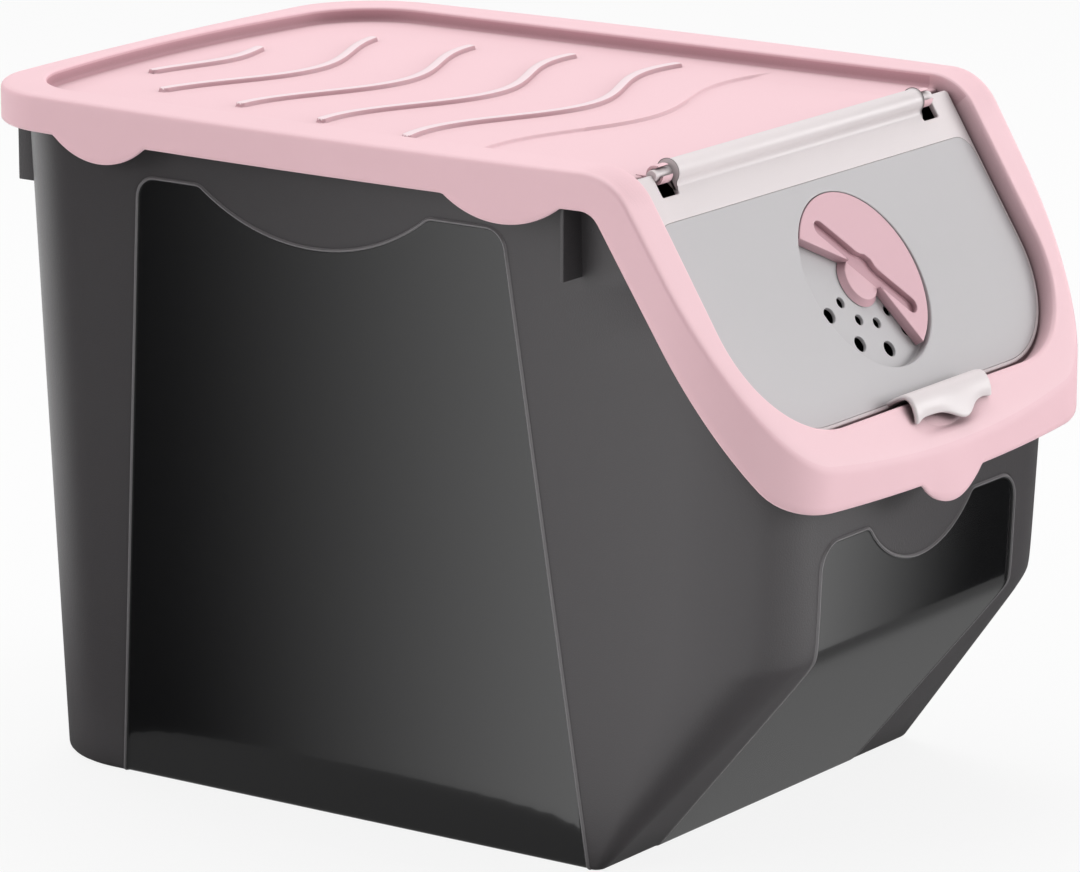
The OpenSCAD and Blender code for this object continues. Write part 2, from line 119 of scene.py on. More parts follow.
# Height at a given y of the line that lies d below the hood: level, circle, then the slope's line.
def hoodZ(y, d=0.0):
    y = np.asarray(y, float)
    r = bendR - d
    onBend = bendZ + np.sqrt(np.maximum(r * r - np.clip(bendY - y, 0, r) ** 2, 0))
    onSlope = hoodTop - (cornerY - y) * tan(angle) - d / cos(angle)
    return np.where(y >= bendY, hoodTop - d, np.where(bendY - y <= r * sin(angle), onBend, onSlope))


# Points from x, s and d: the slope's upper corner plus s down the slope and d into it.
def slopePoints(x, s, d):
    x, s, d = np.broadcast_arrays(np.asarray(x, float), np.asarray(s, float), np.asarray(d, float))
    y = cornerY - s * cos(angle) + d * sin(angle)
    z = hoodTop - s * sin(angle) - d * cos(angle)
    return np.stack([x, y, z], -1)


# Places x and up-the-slope distance in space, at depth d.
def onFace(d):
    return lambda q: slopePoints(q[:, 0], -q[:, 1], d)


# Closed rectangle with round corners, counter-clockwise from the right end of the rear-right corner:
# four arcs with even steps, joined by evenly divided straights.
def roundedLoop(half, y0, y1, r0, r1, arc, side, end):
    middles = [(half - r1, y1 - r1, r1), (-half + r1, y1 - r1, r1),
               (-half + r0, y0 + r0, r0), (half - r0, y0 + r0, r0)]
    turn = 90 * np.arange(arc + 1) / arc
    arcs = [arcPoints(x, y, r, 90 * k + turn) for k, (x, y, r) in enumerate(middles)]
    parts = []
    for k, count in enumerate((end, side, end, side)):
        start, stop = arcs[k][-1], arcs[(k + 1) % 4][0]
        parts += [arcs[k], start + (stop - start) * (np.arange(1, count) / count)[:, None]]
    return np.concatenate(parts)


# Points of a circle at the given angles in degrees.
def arcPoints(x, y, r, degrees):
    turn = np.radians(degrees)
    return np.stack([x + r * np.cos(turn), y + r * np.sin(turn)], -1)


def circleLoop(x, y, r, count=64):      # evenly spaced, counter-clockwise
    return arcPoints(x, y, r, 360 * np.arange(count) / count)


# Bows the straights outwards: x shrinks with the square of y, and y with the square of x.
def bowed(p, side, front, rear):
    u, v = p[:, 0] / hood["halfWidth"], p[:, 1] / hood["halfLength"]
    x = p[:, 0] * (1 - side * v * v / hood["halfWidth"])
    return np.stack([x, p[:, 1] - v * u * u * np.where(v < 0, front, rear)], -1)


# The hood's plan, drawn in by an inset.
def hoodOutline(inset, arc, side, end):
    p = roundedLoop(hood["halfWidth"] - inset, -hood["halfLength"] + inset, hood["halfLength"] - inset,
                    hood["frontR"] - inset, hood["rearR"] - inset, arc, side, end)
    return bowed(p, hood["sideBow"], hood["frontBow"], hood["rearBow"])


# Outward normals of a closed counter-clockwise outline: the tangent of its neighbours, turned right.
def loopNormals(p):
    t = np.roll(p, -1, 0) - np.roll(p, 1, 0)
    t /= np.linalg.norm(t, axis=1)[:, None]
    return np.stack([t[:, 1], -t[:, 0]], -1)


def grown(p, by):      # moves each point along its normal
    return p + loopNormals(p) * by


def dropDoubles(p):      # leaves out points that lie on the one before
    return p[np.linalg.norm(p - np.roll(p, 1, 0), axis=1) > 1e-4]


# True for each point inside a closed outline: an odd number of crossings to its right.
def inside(points, loop):
    x, y = points[:, 0][:, None], points[:, 1][:, None]
    a, b = loop, np.roll(loop, -1, 0)
    rise = np.where(b[:, 1] == a[:, 1], 1e-9, b[:, 1] - a[:, 1])
    at = a[:, 0] + (y - a[:, 1]) * (b[:, 0] - a[:, 0]) / rise
    return (((a[:, 1] > y) != (b[:, 1] > y)) & (x < at)).sum(1) % 2 == 1


# Distance from each point to the nearest side of a closed outline, negative inside it.
def distanceTo(points, loop):
    ab = np.roll(loop, -1, 0) - loop
    ap = points[:, None, :] - loop[None]
    share = np.clip((ap * ab).sum(-1) / np.maximum((ab * ab).sum(-1), 1e-12), 0, 1)
    away = np.linalg.norm(ap - share[..., None] * ab, axis=-1).min(1)
    return np.where(inside(points, loop), -away, away)


# Outline through corners, each replaced by the arc of its radius that touches both of its sides.
def softened(corners, radii, step):      # step is degrees per point
    corners = np.asarray(corners, float)
    out = []
    for k, p in enumerate(corners):
        before, after = corners[k - 1] - p, corners[(k + 1) % len(corners)] - p
        before, after = before / np.linalg.norm(before), after / np.linalg.norm(after)
        half = np.arccos(np.clip(before @ after, -1, 1)) / 2
        if radii[k] <= 0 or half > pi / 2 - 0.01:
            out.append(p[None])
            continue
        reach = radii[k] / tan(half)
        centre = p + (before + after) / np.linalg.norm(before + after) * radii[k] / sin(half)
        start, stop = p + before * reach - centre, p + after * reach - centre
        first = atan2(start[1], start[0])
        turn = (atan2(stop[1], stop[0]) - first + pi) % (2 * pi) - pi
        count = max(int(abs(np.degrees(turn)) / step), 2)
        a = first + turn * np.arange(count + 1) / count
        out.append(centre + radii[k] * np.stack([np.cos(a), np.sin(a)], -1))
    return np.concatenate(out)


# Adds even points to the long sides of a closed outline.
def subdivided(p, longest):
    out = []
    for a, b in zip(p, np.roll(p, -1, 0)):
        count = max(int(np.ceil(np.linalg.norm(b - a) / longest)), 1)
        out.append(a + (b - a) * (np.arange(count) / count)[:, None])
    return np.concatenate(out)


# Cuts a plane into triangles along lines, given as (points, closed). It keeps what lies inside the
# first line and outside the holes, turned counter-clockwise, or clockwise with flip.
def triangles(lines, holes, flip, slack):
    points, edges = [], []
    for line, closed in lines:
        start, count = len(points), len(line)
        points += [Vector(p) for p in line]
        edges += [(start + k, start + (k + 1) % count) for k in range(count if closed else count - 1)]
    flat, _, faces, *_ = delaunay_2d_cdt(points, edges, [], 1, slack)
    flat, tri = np.array([p[:] for p in flat]), np.array(faces)
    middle = flat[tri].mean(1)
    keep = inside(middle, lines[0][0])
    for hole in holes:
        keep &= ~inside(middle, hole)
    tri = tri[keep]
    a, b, c = flat[tri[:, 0]], flat[tri[:, 1]], flat[tri[:, 2]]
    left = (b[:, 0] - a[:, 0]) * (c[:, 1] - a[:, 1]) - (b[:, 1] - a[:, 1]) * (c[:, 0] - a[:, 0]) > 0
    return flat, np.where((left != flip)[:, None], tri, tri[:, ::-1])


# Collects the points and faces of one piece, and writes them as a mesh.
class Shape:
    def __init__(self):
        self.points, self.faces, self.kinds, self.count = [], [], [], 0

    # kind is the number of a material, one for all faces or one for each
    def add(self, points, faces, kind=0):
        self.points.append(np.asarray(points, float).reshape(-1, 3))
        self.faces += (np.asarray(faces) + self.count).tolist()
        self.kinds += np.broadcast_to(kind, len(faces)).tolist()
        self.count += len(self.points[-1])

    # points is rows by columns by 3; closeU joins the last column to the first, closeV the rows
    def grid(self, points, closeU=False, closeV=False, flip=False, kind=0):
        rows, columns = points.shape[:2]
        i = np.arange(rows * columns).reshape(rows, columns)
        if closeU:
            i = np.concatenate([i, i[:, :1]], 1)
        if closeV:
            i = np.concatenate([i, i[:1]], 0)
        faces = np.stack([i[:-1, :-1], i[:-1, 1:], i[1:, 1:], i[1:, :-1]], -1).reshape(-1, 4)
        self.add(points, faces[:, ::-1] if flip else faces, kind)

    # fills the first outline, less the others; place maps the plane into space
    def cap(self, loops, place, flip=False, kind=0):
        flat, tri = triangles([(loop, True) for loop in loops], loops[1:], flip, 1e-5)
        self.add(place(flat), tri, kind)

    # walls through a list of (inset, depth): the outline drawn in by each inset at each depth
    def walls(self, loop, steps, place, flip=True):
        self.grid(np.array([place(d)(grown(loop, -inset)) for inset, d in steps]), closeU=True, flip=flip)

    # welds the seams, drops faces without area and puts the piece on its body
    def make(self, name, finish, body, node, sharp=None):
        mesh = bpy.data.meshes.new(name)
        mesh.from_pydata((np.concatenate(self.points) * mm).tolist(), [], self.faces)
        for one in finish:
            mesh.materials.append(plastics[one])
        mesh.polygons.foreach_set("material_index", self.kinds)
        mesh.polygons.foreach_set("use_smooth", [True] * len(self.faces))
        joined = bmesh.new()
        joined.from_mesh(mesh)
        bmesh.ops.remove_doubles(joined, verts=joined.verts, dist=1e-5)
        bmesh.ops.dissolve_degenerate(joined, edges=joined.edges, dist=1e-6)
        joined.to_mesh(mesh)
        joined.free()
        if sharp:
            mesh.set_sharp_from_angle(angle=radians(sharp))
        obj = bpy.data.objects.new(name, mesh)
        bpy.context.scene.collection.objects.link(obj)
        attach(obj, body)
        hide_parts(node)
        print("made", name, len(mesh.polygons), "faces")


# Inset and depth along a quarter circle, from the wall's top to the face.
def roundedEdge(r):
    turn = (pi / 2) * np.arange(4) / 3
    return list(zip(r * (1 - np.cos(turn)), r * (1 - np.sin(turn))))


# A closed profile of (y, z) points carried along x, with rounded ends.
def prismAcross(shape, profile, x0, x1, edge=0.35):
    steps = [(edge + 0.25, 0)] + [(inset, depth) for inset, depth in reversed(roundedEdge(edge))]
    ends = [(inset, x0 + depth) for inset, depth in steps]
    ends += [(inset, x1 - depth) for inset, depth in reversed(steps)]

    def place(x):
        return lambda q: np.column_stack([np.full(len(q), x), q])

    shape.walls(profile, ends, place, flip=False)
    shape.cap([grown(profile, -steps[0][0])], place(x0), flip=True)
    shape.cap([grown(profile, -steps[0][0])], place(x1))


# Adds a shader node; each named input gets a plain value or the output of another node.
def addNode(tree, kind, inputs=None, **settings):
    node = tree.nodes.new("ShaderNode" + kind)
    for name, value in settings.items():
        setattr(node, name, value)
    for name, value in (inputs or {}).items():
        if isinstance(value, bpy.types.NodeSocket):
            tree.links.new(value, node.inputs[name])
        else:
            node.inputs[name].default_value = value
    return node


def sumNode(tree, operation, a, b):      # one sum of two values
    return addNode(tree, "Math", {0: a, 1: b}, operation=operation).outputs[0]


# Moulded grain: a fine noise over the surface as a normal, a slow one that varies the colour and the
# roughness a little, and a painted shade: ambient occlusion darkens the colour in hollows and along inner
# edges.
def makeGrainAndShade():
    tree = bpy.data.node_groups.new("mouldedGrainAndShade", "ShaderNodeTree")
    for label, kind, value in (("Color", "Color", (1, 1, 1, 1)), ("Tint", "Float", 0.03),
                               ("Roughness", "Float", 0.4), ("Scale", "Float", 900.0),
                               ("Strength", "Float", 0.1), ("CreviceShade", "Float", 0.5)):
        socket = tree.interface.new_socket(name=label, in_out="INPUT", socket_type="NodeSocket" + kind)
        socket.default_value = value
    for label, kind in (("Color", "Color"), ("Roughness", "Float"), ("Normal", "Vector")):
        tree.interface.new_socket(name=label, in_out="OUTPUT", socket_type="NodeSocket" + kind)
    given, result = tree.nodes.new("NodeGroupInput").outputs, tree.nodes.new("NodeGroupOutput").inputs
    place = addNode(tree, "TexCoord").outputs["Object"]
    fine = addNode(tree, "TexNoise", {"Vector": place, "Scale": given["Scale"], "Detail": 2})
    slow = addNode(tree, "TexNoise", {"Vector": place, "Scale": 14, "Detail": 3})
    bump = addNode(tree, "Bump", {"Distance": 0.0002, "Strength": given["Strength"],
                                  "Height": fine.outputs["Fac"]})
    swing = sumNode(tree, "SUBTRACT", slow.outputs["Fac"], 0.5)
    amount = sumNode(tree, "MULTIPLY", swing, given["Tint"])
    level = sumNode(tree, "ADD", amount, 1)
    bright = addNode(tree, "HueSaturation", {"Value": level, "Color": given["Color"]})
    # painted shade: the colour is darkened by ambient occlusion in hollows and along inner edges
    hollow = addNode(tree, "AmbientOcclusion", {"Distance": 0.014}, samples=8)
    darkest = sumNode(tree, "SUBTRACT", 1, given["CreviceShade"])
    shade = addNode(tree, "MapRange", {"Value": hollow.outputs["AO"], "From Min": 0.25, "From Max": 0.95,
                                       "To Min": darkest})
    shaded = addNode(tree, "VectorMath", {0: bright.outputs["Color"], "Scale": shade.outputs["Result"]},
                     operation="SCALE")
    tree.links.new(shaded.outputs["Vector"], result["Color"])
    tree.links.new(sumNode(tree, "ADD", given["Roughness"], amount), result["Roughness"])
    tree.links.new(bump.outputs["Normal"], result["Normal"])
    return tree


grain = makeGrainAndShade()


# A moulded plastic: the colour as on a screen, made linear, and the grain's own values.
def plastic(name, rgb, roughness, tint, scale, strength, creviceShade, coat):
    material = bpy.data.materials.new(name)
    material.use_nodes = True
    tree = material.node_tree
    shader = tree.nodes["Principled BSDF"]
    shader.inputs["Coat Weight"].default_value = coat
    shader.inputs["Coat Roughness"].default_value = 0.06
    group = tree.nodes.new("ShaderNodeGroup")
    group.node_tree = grain
    screen = np.array(rgb) / 255
    light = np.where(screen <= 0.04045, screen / 12.92, ((screen + 0.055) / 1.055) ** 2.4)
    values = {"Color": (*light, 1), "Tint": tint, "Roughness": roughness, "Scale": scale,
              "Strength": strength, "CreviceShade": creviceShade}
    for label, value in values.items():
        group.inputs[label].default_value = value
    for label, socket in (("Color", "Base Color"), ("Roughness", "Roughness"), ("Normal", "Normal")):
        tree.links.new(group.outputs[label], shader.inputs[socket])
    return material


# colour, roughness, tint, scale and strength of the grain, painted shade in hollows, clear coat
finishes = {
    "pinkPlastic": ((243, 203, 210), 0.58, 0.03, 1100, 0.12, 0.66, 0),
    # painted shade: the skirt takes a darker, more saturated copy of the pink
    "pinkSkirtShade": ((240, 197, 205), 0.58, 0.03, 1100, 0.12, 0.66, 0),
    # painted shade on the recess wall and its foot: a softer and a deeper darker copy of the pink
    "pinkSoftShade": ((228, 183, 191), 0.58, 0.03, 1100, 0.12, 0.66, 0),
    "pinkDeepShade": ((212, 164, 173), 0.58, 0.03, 1100, 0.12, 0.66, 0),
    # painted highlight: the waves' crowns take a lighter, glossier copy of the pink
    "waveTopHighlight": ((249, 226, 231), 0.3, 0.02, 1100, 0.06, 0.2, 0),
    # painted shade: the waves' sides take a darker copy of the pink
    "waveSideShade": ((214, 170, 178), 0.5, 0.02, 1100, 0.1, 0.5, 0),
    # painted shade: the dial's groove floor takes a darker copy of its pink
    "grooveShade": ((203, 157, 167), 0.45, 0.02, 1100, 0.06, 0.3, 0),
    # painted highlight: the bead round the gloss panels takes a lighter, glossier copy of the grained black
    "tubBeadHighlight": ((128, 125, 127), 0.3, 0.04, 1500, 0.1, 0.2, 0),
    "dialPlastic": ((221, 178, 187), 0.42, 0.03, 1100, 0.08, 0.5, 0),
    "whitePlastic": ((229, 220, 221), 0.42, 0.02, 1100, 0.08, 0.4, 0),
    "greyPlastic": ((194, 191, 193), 0.4, 0.02, 1400, 0.05, 0.18, 0),
    "tubGrained": ((70, 67, 69), 0.42, 0.08, 1500, 0.6, 0.4, 0),
    "tubGloss": ((24, 24, 25), 0.16, 0.04, 900, 0.02, 0, 1),
    "tubInside": ((44, 42, 43), 0.45, 0.05, 1500, 0.2, 0.4, 0),
}
plastics = {name: plastic(name, *values) for name, values in finishes.items()}
print("materials made")

lid = {
    "wall": 1.6, "skirt": 15, "skirtFront": 150, "skirtBlend": 30, "lowerEdge": 0.6,
    "recessHalf": 115.5, "recessRear": hood["halfLength"] - 10.5, "recessBow": 18, "recessRearR": 32,
    "recessDepth": 6.2, "openingEnd": 118.7, "openingR": 48.5, "ledgeDepth": 9.5, "ledgeWidth": 6,
    "edgeRound": 3.2, "rimRound": 1.5, "footRound": 1.6, "panelEdge": -115.03, "cover": 3,
    "tabDrop": 9, "tabRear": 121, "tabFront": -76, "tabRearR": 37, "tabFrontR": 44, "tabNoseR": 29,
    "arc": 26, "side": 210, "end": 112, "frontEnd": -150,
    "scoopDepth": 3.0, "scoopS": 125, "scoopHalf": 30, "scoopRise": 13,
    "noseDepth": 0.7, "noseHalf": 17, "noseX": -5.5, "shadeFrom": -132, "shadeFull": -112,
    "ledgeFrom": -114.5, "ledgeEase": 3, "scoopShare": 0.55, "scoopFrom": 60,
}


# The recess as x and u: straight sides, a bowed rear and the round bottom of the door frame.
def recessOutline():
    p = roundedLoop(lid["recessHalf"], float(uOfSlope(lid["openingEnd"])), lid["recessRear"],
                    lid["openingR"], lid["recessRearR"], lid["arc"], lid["side"], lid["end"])
    return bowed(p, 0, 0, lid["recessBow"])


# Height of the skirt's lower edge: a line under the hood, an arc into the level front, less the tabs,
# which are the lowest segments of circles.
def skirtBottom(p):
    x, y = p[:, 0], p[:, 1]
    r, low = lid["skirtBlend"], lid["skirtFront"]
    s = (hoodTop - lid["skirt"] * cos(angle) - low - r * (1 - cos(angle))) / sin(angle)
    levelY = float(slopePoints(0, s, lid["skirt"])[1]) - r * sin(angle)
    level = low + r - np.sqrt(np.maximum(r * r - np.clip(y - levelY, 0, r) ** 2, 0))
    z = np.where(y < levelY + r * sin(angle), level, hoodZ(y, lid["skirt"]))

    def tabbed(z, along, radius, bottom):
        tab = bottom + radius - np.sqrt(np.maximum(radius ** 2 - along ** 2, 0))
        return np.where(np.abs(along) < radius, np.minimum(z, tab), z)

    bottom = hoodTop - lid["skirt"] - lid["tabDrop"]
    z = tabbed(z, y - lid["tabRear"], lid["tabRearR"], bottom)
    z = tabbed(z, y - lid["tabFront"], lid["tabFrontR"], bottom)
    nose = tabbed(z, x - lid["noseX"], lid["tabNoseR"], low - lid["tabDrop"])
    return np.where(y < lid["frontEnd"], nose, z)


def hill(t):      # smooth, 1 high in the middle and 0 from t = 1 on
    return np.where(np.abs(t) < 1, (1 - np.clip(t * t, 0, 1)) ** 2, 0)


# Skirt, rim, recess wall and door ledge as one closed shell of rings. A ring is the hood's plan with
# an inset and a height, or the recess outline moved out along the hood, at a depth below it.
def makeLidFrame():
    outer = hoodOutline(0, lid["arc"], lid["side"], lid["end"])
    normal = loopNormals(outer)
    low = skirtBottom(outer)
    wall, edgeLip, rimRound = lid["wall"], lid["lowerEdge"], lid["rimRound"]
    recess = recessOutline()
    recessNormal = loopNormals(recess)
    x, y = outer[:, 0], outer[:, 1]
    nose = hill((x - lid["noseX"]) / lid["noseHalf"]) * (y < lid["frontEnd"])

    def wallRing(inset, z, bulge=0.0):
        p = outer - normal * inset
        return np.column_stack([p + normal * (lid["noseDepth"] * nose * bulge)[:, None], z])

    def rimRing(offset, depth):
        q = recess + recessNormal * np.asarray(offset).reshape(-1, 1)
        return np.column_stack([q[:, 0], *hoodAt(q[:, 1], depth)])

    # the skirt, from the inside of its lower edge up to the rounded rim
    top = hoodZ(y)
    edge = outer - normal * lid["edgeRound"]
    edgeU = uOfY(edge[:, 1])
    skirtTop = top - lid["edgeRound"] * 0.9
    rings = [wallRing(wall, low + edgeLip), wallRing(wall - 0.5, low), wallRing(0.5, low, 1),
             wallRing(0, low + edgeLip, 1)]
    for f in (0.15, 0.35, 0.55, 0.75, 0.9, 1.0):
        z = low + edgeLip + (skirtTop - low - edgeLip) * f
        rings.append(wallRing(0, z, 1 - 0.75 * f * f))
    start, corner = np.column_stack([outer, skirtTop]), np.column_stack([outer, top])
    stop = np.column_stack([edge, hoodZ(edge[:, 1])])
    noseTop = lid["noseDepth"] * nose[:, None] * np.column_stack([normal, 0 * x]) * 0.25
    for t in np.arange(1, 7) / 6:
        p = (1 - t) ** 2 * start + 2 * t * (1 - t) * corner + t * t * stop
        rings.append(p + noseTop * (1 - t))

    # across the rim, with the finger scoop in front
    rimIn = recess + recessNormal * rimRound
    for f in (0.08, 0.2, 0.35, 0.5, 0.65, 0.8, 0.92, 1.0):
        q = np.column_stack([edge[:, 0] + (rimIn[:, 0] - edge[:, 0]) * f, edgeU + (rimIn[:, 1] - edgeU) * f])
        s = bendReach + (bendEnd - q[:, 1])
        across, along = q[:, 0] / lid["scoopHalf"], (s - lid["scoopS"]) / lid["scoopRise"]
        scoop = lid["scoopDepth"] * hill(np.sqrt(across ** 2 + along ** 2)) * (q[:, 1] < bendEnd)
        rings.append(np.column_stack([q[:, 0], *hoodAt(q[:, 1], scoop)]))

    # down the recess wall, over the ledge and back underneath
    u = recess[:, 1]
    onSlope = np.clip((lid["ledgeFrom"] - u) / lid["ledgeEase"], 0, 1)
    floor = lid["recessDepth"] + (lid["ledgeDepth"] - lid["recessDepth"]) * onSlope
    foot = lid["footRound"] * (1 - 0.6 * onSlope)
    inFront = u < bendEnd - lid["scoopFrom"]
    scoopWall = lid["scoopDepth"] * hill(recess[:, 0] / lid["scoopHalf"]) * lid["scoopShare"] * inFront
    for turn in (pi / 2) * np.arange(1, 6) / 5:
        rings.append(rimRing(rimRound * (1 - np.sin(turn)), rimRound * (1 - np.cos(turn)) + scoopWall))
    for f in (0.3, 0.7, 1.0):
        rings.append(rimRing(0, rimRound + (floor - foot - rimRound) * f + scoopWall * (1 - f)))
    for turn in (pi / 2) * np.arange(1, 5) / 4:
        rings.append(rimRing(-foot * (1 - np.cos(turn)), floor - foot + foot * np.sin(turn)))
    ledge = foot + lid["cover"] + (lid["ledgeWidth"] - lid["cover"] - foot) * onSlope
    hide = 0.04 * (1 - onSlope)      # the top panel covers this strip
    below = floor + wall
    for offset, depth in ((-ledge + 0.4, floor + hide), (-ledge, floor + hide + 0.3), (-ledge, below - 0.2),
                          (-ledge + 0.4, below), (wall - 0.6, below), (wall, below - 0.6), (wall, wall + 1),
                          (wall + 1, wall)):
        rings.append(rimRing(offset, depth))
    for inset, drop in ((wall + 2, 0), (wall, 2)):
        p = outer - normal * inset
        rings.append(np.column_stack([p, hoodZ(p[:, 1], wall) - drop]))

    # the skirt's rows take a painted shade, and the recess wall and its foot a painted shade round the flat
    # top, deepest on the wall and fading out towards the door frame
    kind = np.zeros((len(rings), len(outer)), int)
    kind[3:12], kind[26:36] = 1, (u > lid["shadeFrom"]) * 2
    kind[28:34] = (u > lid["shadeFrom"]) * 2 + (u > lid["shadeFull"])
    shape = Shape()
    shape.grid(np.array(rings), closeU=True, closeV=True, kind=kind.ravel())
    pinks = ["pinkPlastic", "pinkSkirtShade", "pinkSoftShade", "pinkDeepShade"]
    shape.make("lidFrame", pinks, "lid", "lid")


waves = {
    "front": -11, "pitch": 45.9, "length": 158, "half": 96, "step": 7.8,
    "width": 4.6, "rise": 11.6, "height": 1.9, "crown": 0.35, "wallRun": 0.5, "count": 4,
    "lastRow": 0.66, "lastHalf": 35, "lastX": -8, "lastDip": 6.0, "dipRun": 16, "dipHalf": 26,
    "field": -44.5, "fieldDepth": 1.3, "fieldEdge": 6, "fieldFade": 14, "topFrom": 0.74, "sideFrom": 0.08,
}


# The recessed top. Its rows follow the raised waves, so each wave lies along rows, and its columns
# crowd round the waves' ends. A wave's height is a smooth step at its edge plus a low crown.
def makeLidTop():
    half, top = lid["recessHalf"] - 0.5, hoodTop - lid["recessDepth"]
    rear, front = lid["recessRear"] - 0.5, lid["panelEdge"]
    lines = [(waves["front"] + k * waves["pitch"], waves["half"] - k * waves["step"], 0)
             for k in range(waves["count"])]
    first, last = lines[0][0], lines[-1][0] + 2.5
    lastRow = last + (rear - last) * waves["lastRow"]
    lines.append((lastRow, waves["lastHalf"], waves["lastX"]))

    hw = waves["width"] / 2
    spread = np.array([-hw - 1.2, -hw - waves["wallRun"], -hw - 0.3, -hw,
                       -hw + 0.35, -hw + 0.7, -hw + 1.3, 0])
    rows = np.concatenate([middle + side * spread for middle, _, _ in lines for side in (1, -1)] + [
        waves["field"] + np.array([-2.2, -1.2, -0.8, -0.4, 0, 0.4, 0.8, 1.2, 2.2]),
        np.linspace(front, rear, 46), front + np.array([0.25, 0.6, 1.2])])
    rows = np.unique(np.round(rows, 3))
    rows = rows[(rows >= front) & (rows <= rear)]
    ends = np.array([2.6, 2.0, 1.4, 0.8, 0.2, -0.4, -0.9, -1.3, -1.7, -2.1, -2.5, -3.2])
    columns = np.concatenate([np.linspace(-half, half, 121)] + [
        at + side * (reach - ends) for _, reach, at in lines for side in (1, -1)])
    c, q = np.meshgrid(np.unique(np.round(columns, 3)), rows)

    def wave(x):
        return -waves["rise"] * np.cos(2 * pi * x / waves["length"])

    # a row waves fully among the lines and less at the field, and is straight at the hinge
    share = np.interp(q, [front, waves["field"], first, last], [0, 0.75, 1, 1])
    beyond = np.clip((q - last) / (rear - last), 0, 1)
    r = lid["recessRearR"]
    fromRear = np.clip(rear - q, 0, r)
    width = half - r + np.sqrt(r ** 2 - (r - fromRear) ** 2)
    x = c * np.where(q > last, width / half, 1)
    edge = rear - (rear / hood["halfLength"]) * (x / hood["halfWidth"]) ** 2 * lid["recessBow"]
    dip = waves["lastDip"] * hill((q - lastRow) / waves["dipRun"]) * np.exp(-(x / waves["dipHalf"]) ** 2)
    y = np.where(q > last, (last + wave(x)) * (1 - beyond) + edge * beyond - dip, q + share * wave(x))

    height = np.zeros_like(x)
    for middle, reach, at in lines:
        away = np.hypot(np.maximum(np.abs(x - at) - (reach - hw), 0), q - middle)
        t = np.clip((hw + 0.3 - away) / waves["wallRun"], 0, 1)
        crown = waves["crown"] * np.clip(1 - (away / hw) ** 2, 0, 1)
        step = (waves["height"] - waves["crown"]) * t * t * (3 - 2 * t)
        height = np.maximum(height, step + crown * (t >= 1))
    fade = np.clip((half - waves["fieldEdge"] - np.abs(x)) / waves["fieldFade"], 0, 1)
    t = np.clip((waves["field"] + 0.4 - q) / 0.8, 0, 1)
    z = top + height - waves["fieldDepth"] * t * t * (3 - 2 * t) * fade
    z[:4] -= np.array([0.9, 0.5, 0.28, 0.08])[:, None]      # rounds the edge at the hinge

    lifted = (height[:-1, :-1] + height[1:, :-1] + height[:-1, 1:] + height[1:, 1:]) / 4 / waves["height"]
    surface, under = np.stack([x, y, z], -1), np.stack([x, y, np.full_like(z, top - lid["wall"])], -1)
    shape = Shape()
    # painted highlight on the waves' crowns and painted shade on their sides, as lighter and darker pinks
    kind = np.where(lifted > waves["topFrom"], 1, np.where(lifted > waves["sideFrom"], 2, 0))
    shape.grid(surface, kind=kind.ravel())
    shape.grid(np.stack([under[0], surface[0]]))
    shape.grid(np.stack([surface[-1], under[-1]]))
    shape.grid(np.stack([under[:, 0], surface[:, 0]], 1))
    shape.grid(np.stack([surface[:, -1], under[:, -1]], 1))
    outline = np.concatenate([under[0, :-1], under[:-1, -1], under[-1, :0:-1], under[:0:-1, 0]])
    shape.add(outline, np.arange(len(outline))[None, ::-1])
    shape.make("lidTop", ["pinkPlastic", "waveTopHighlight", "waveSideShade"], "lid", "lid", sharp=60)


hinge = {
    "s": 3, "d": 7.5, "barrelR": 4.7, "barrelHalf": 88.5, "notchWidth": 11, "notchEnd": 12.4, "fillet": 3.0,
    "pinR": 2.3, "clipR": 3.9, "clipGap": 2, "boreR": 2.55, "slot": 4.0, "armEnd": 4,
}
axisY, axisZ = slopePoints(0, hinge["s"], hinge["d"])[1:]


# The two open clips on the top's front edge that hold the door's pins: a ring with a slot, and an arm
# from it to the underside of the top.
def makeClips():
    out = angle + pi / 2      # direction of the slot, outwards from the slope

    def openRing(r, count):
        half = asin(hinge["slot"] / 2 / r)
        turn = out + half + (2 * pi - 2 * half) * np.arange(count) / (count - 1)
        return np.stack([axisY + r * np.cos(turn), axisZ + r * np.sin(turn)], -1)

    loop = np.concatenate([openRing(hinge["clipR"], 41), openRing(hinge["boreR"], 31)[::-1]])
    near, far = axisY + 0.2, axisY + hinge["barrelR"] + hinge["armEnd"]
    low, high = axisZ - hinge["clipR"] + 0.15, hoodTop - lid["recessDepth"] - 0.8
    arm = subdivided(np.array([[near, low], [far, low], [far, high], [near, high]]), 2.0)
    arm = arm[np.hypot(arm[:, 0] - axisY, arm[:, 1] - axisZ) > 3.2]
    x0 = hinge["barrelHalf"] + hinge["clipGap"]
    x1 = x0 + hinge["notchWidth"] - 2 * hinge["clipGap"]
    shape = Shape()
    for start, stop in ((-x1, -x0), (x0, x1)):
        prismAcross(shape, loop, start, stop, edge=0.15)
        prismAcross(shape, arm, start + 0.02, stop - 0.02, edge=0.15)
    shape.make("hingeClips", ["pinkPlastic"], "lid", "lid", sharp=50)


makeLidFrame()
makeLidTop()
makeClips()

door = {
    "half": 114, "end": 117.2, "cornerR": 47, "face": 7, "thick": 2.2, "margin": 1.5, "band": 22.5,
    "inlay": 0.9, "gap": 0.1, "panelTopR": 9, "edge": 0.5, "tabTop": 2.6,
}
vent = {
    "s": 65, "r": 36.6, "depth": 4.5, "wall": 1.4, "cupS": 66, "cupR": 37.6, "bore": 3.05,
    "holeX": 0.3, "holeS": 65.8, "bigRing": 28.8, "bigR": 3.3, "smallRing": 17.5, "smallR": 2.3,
    "step": 36, "middle": -108,
}


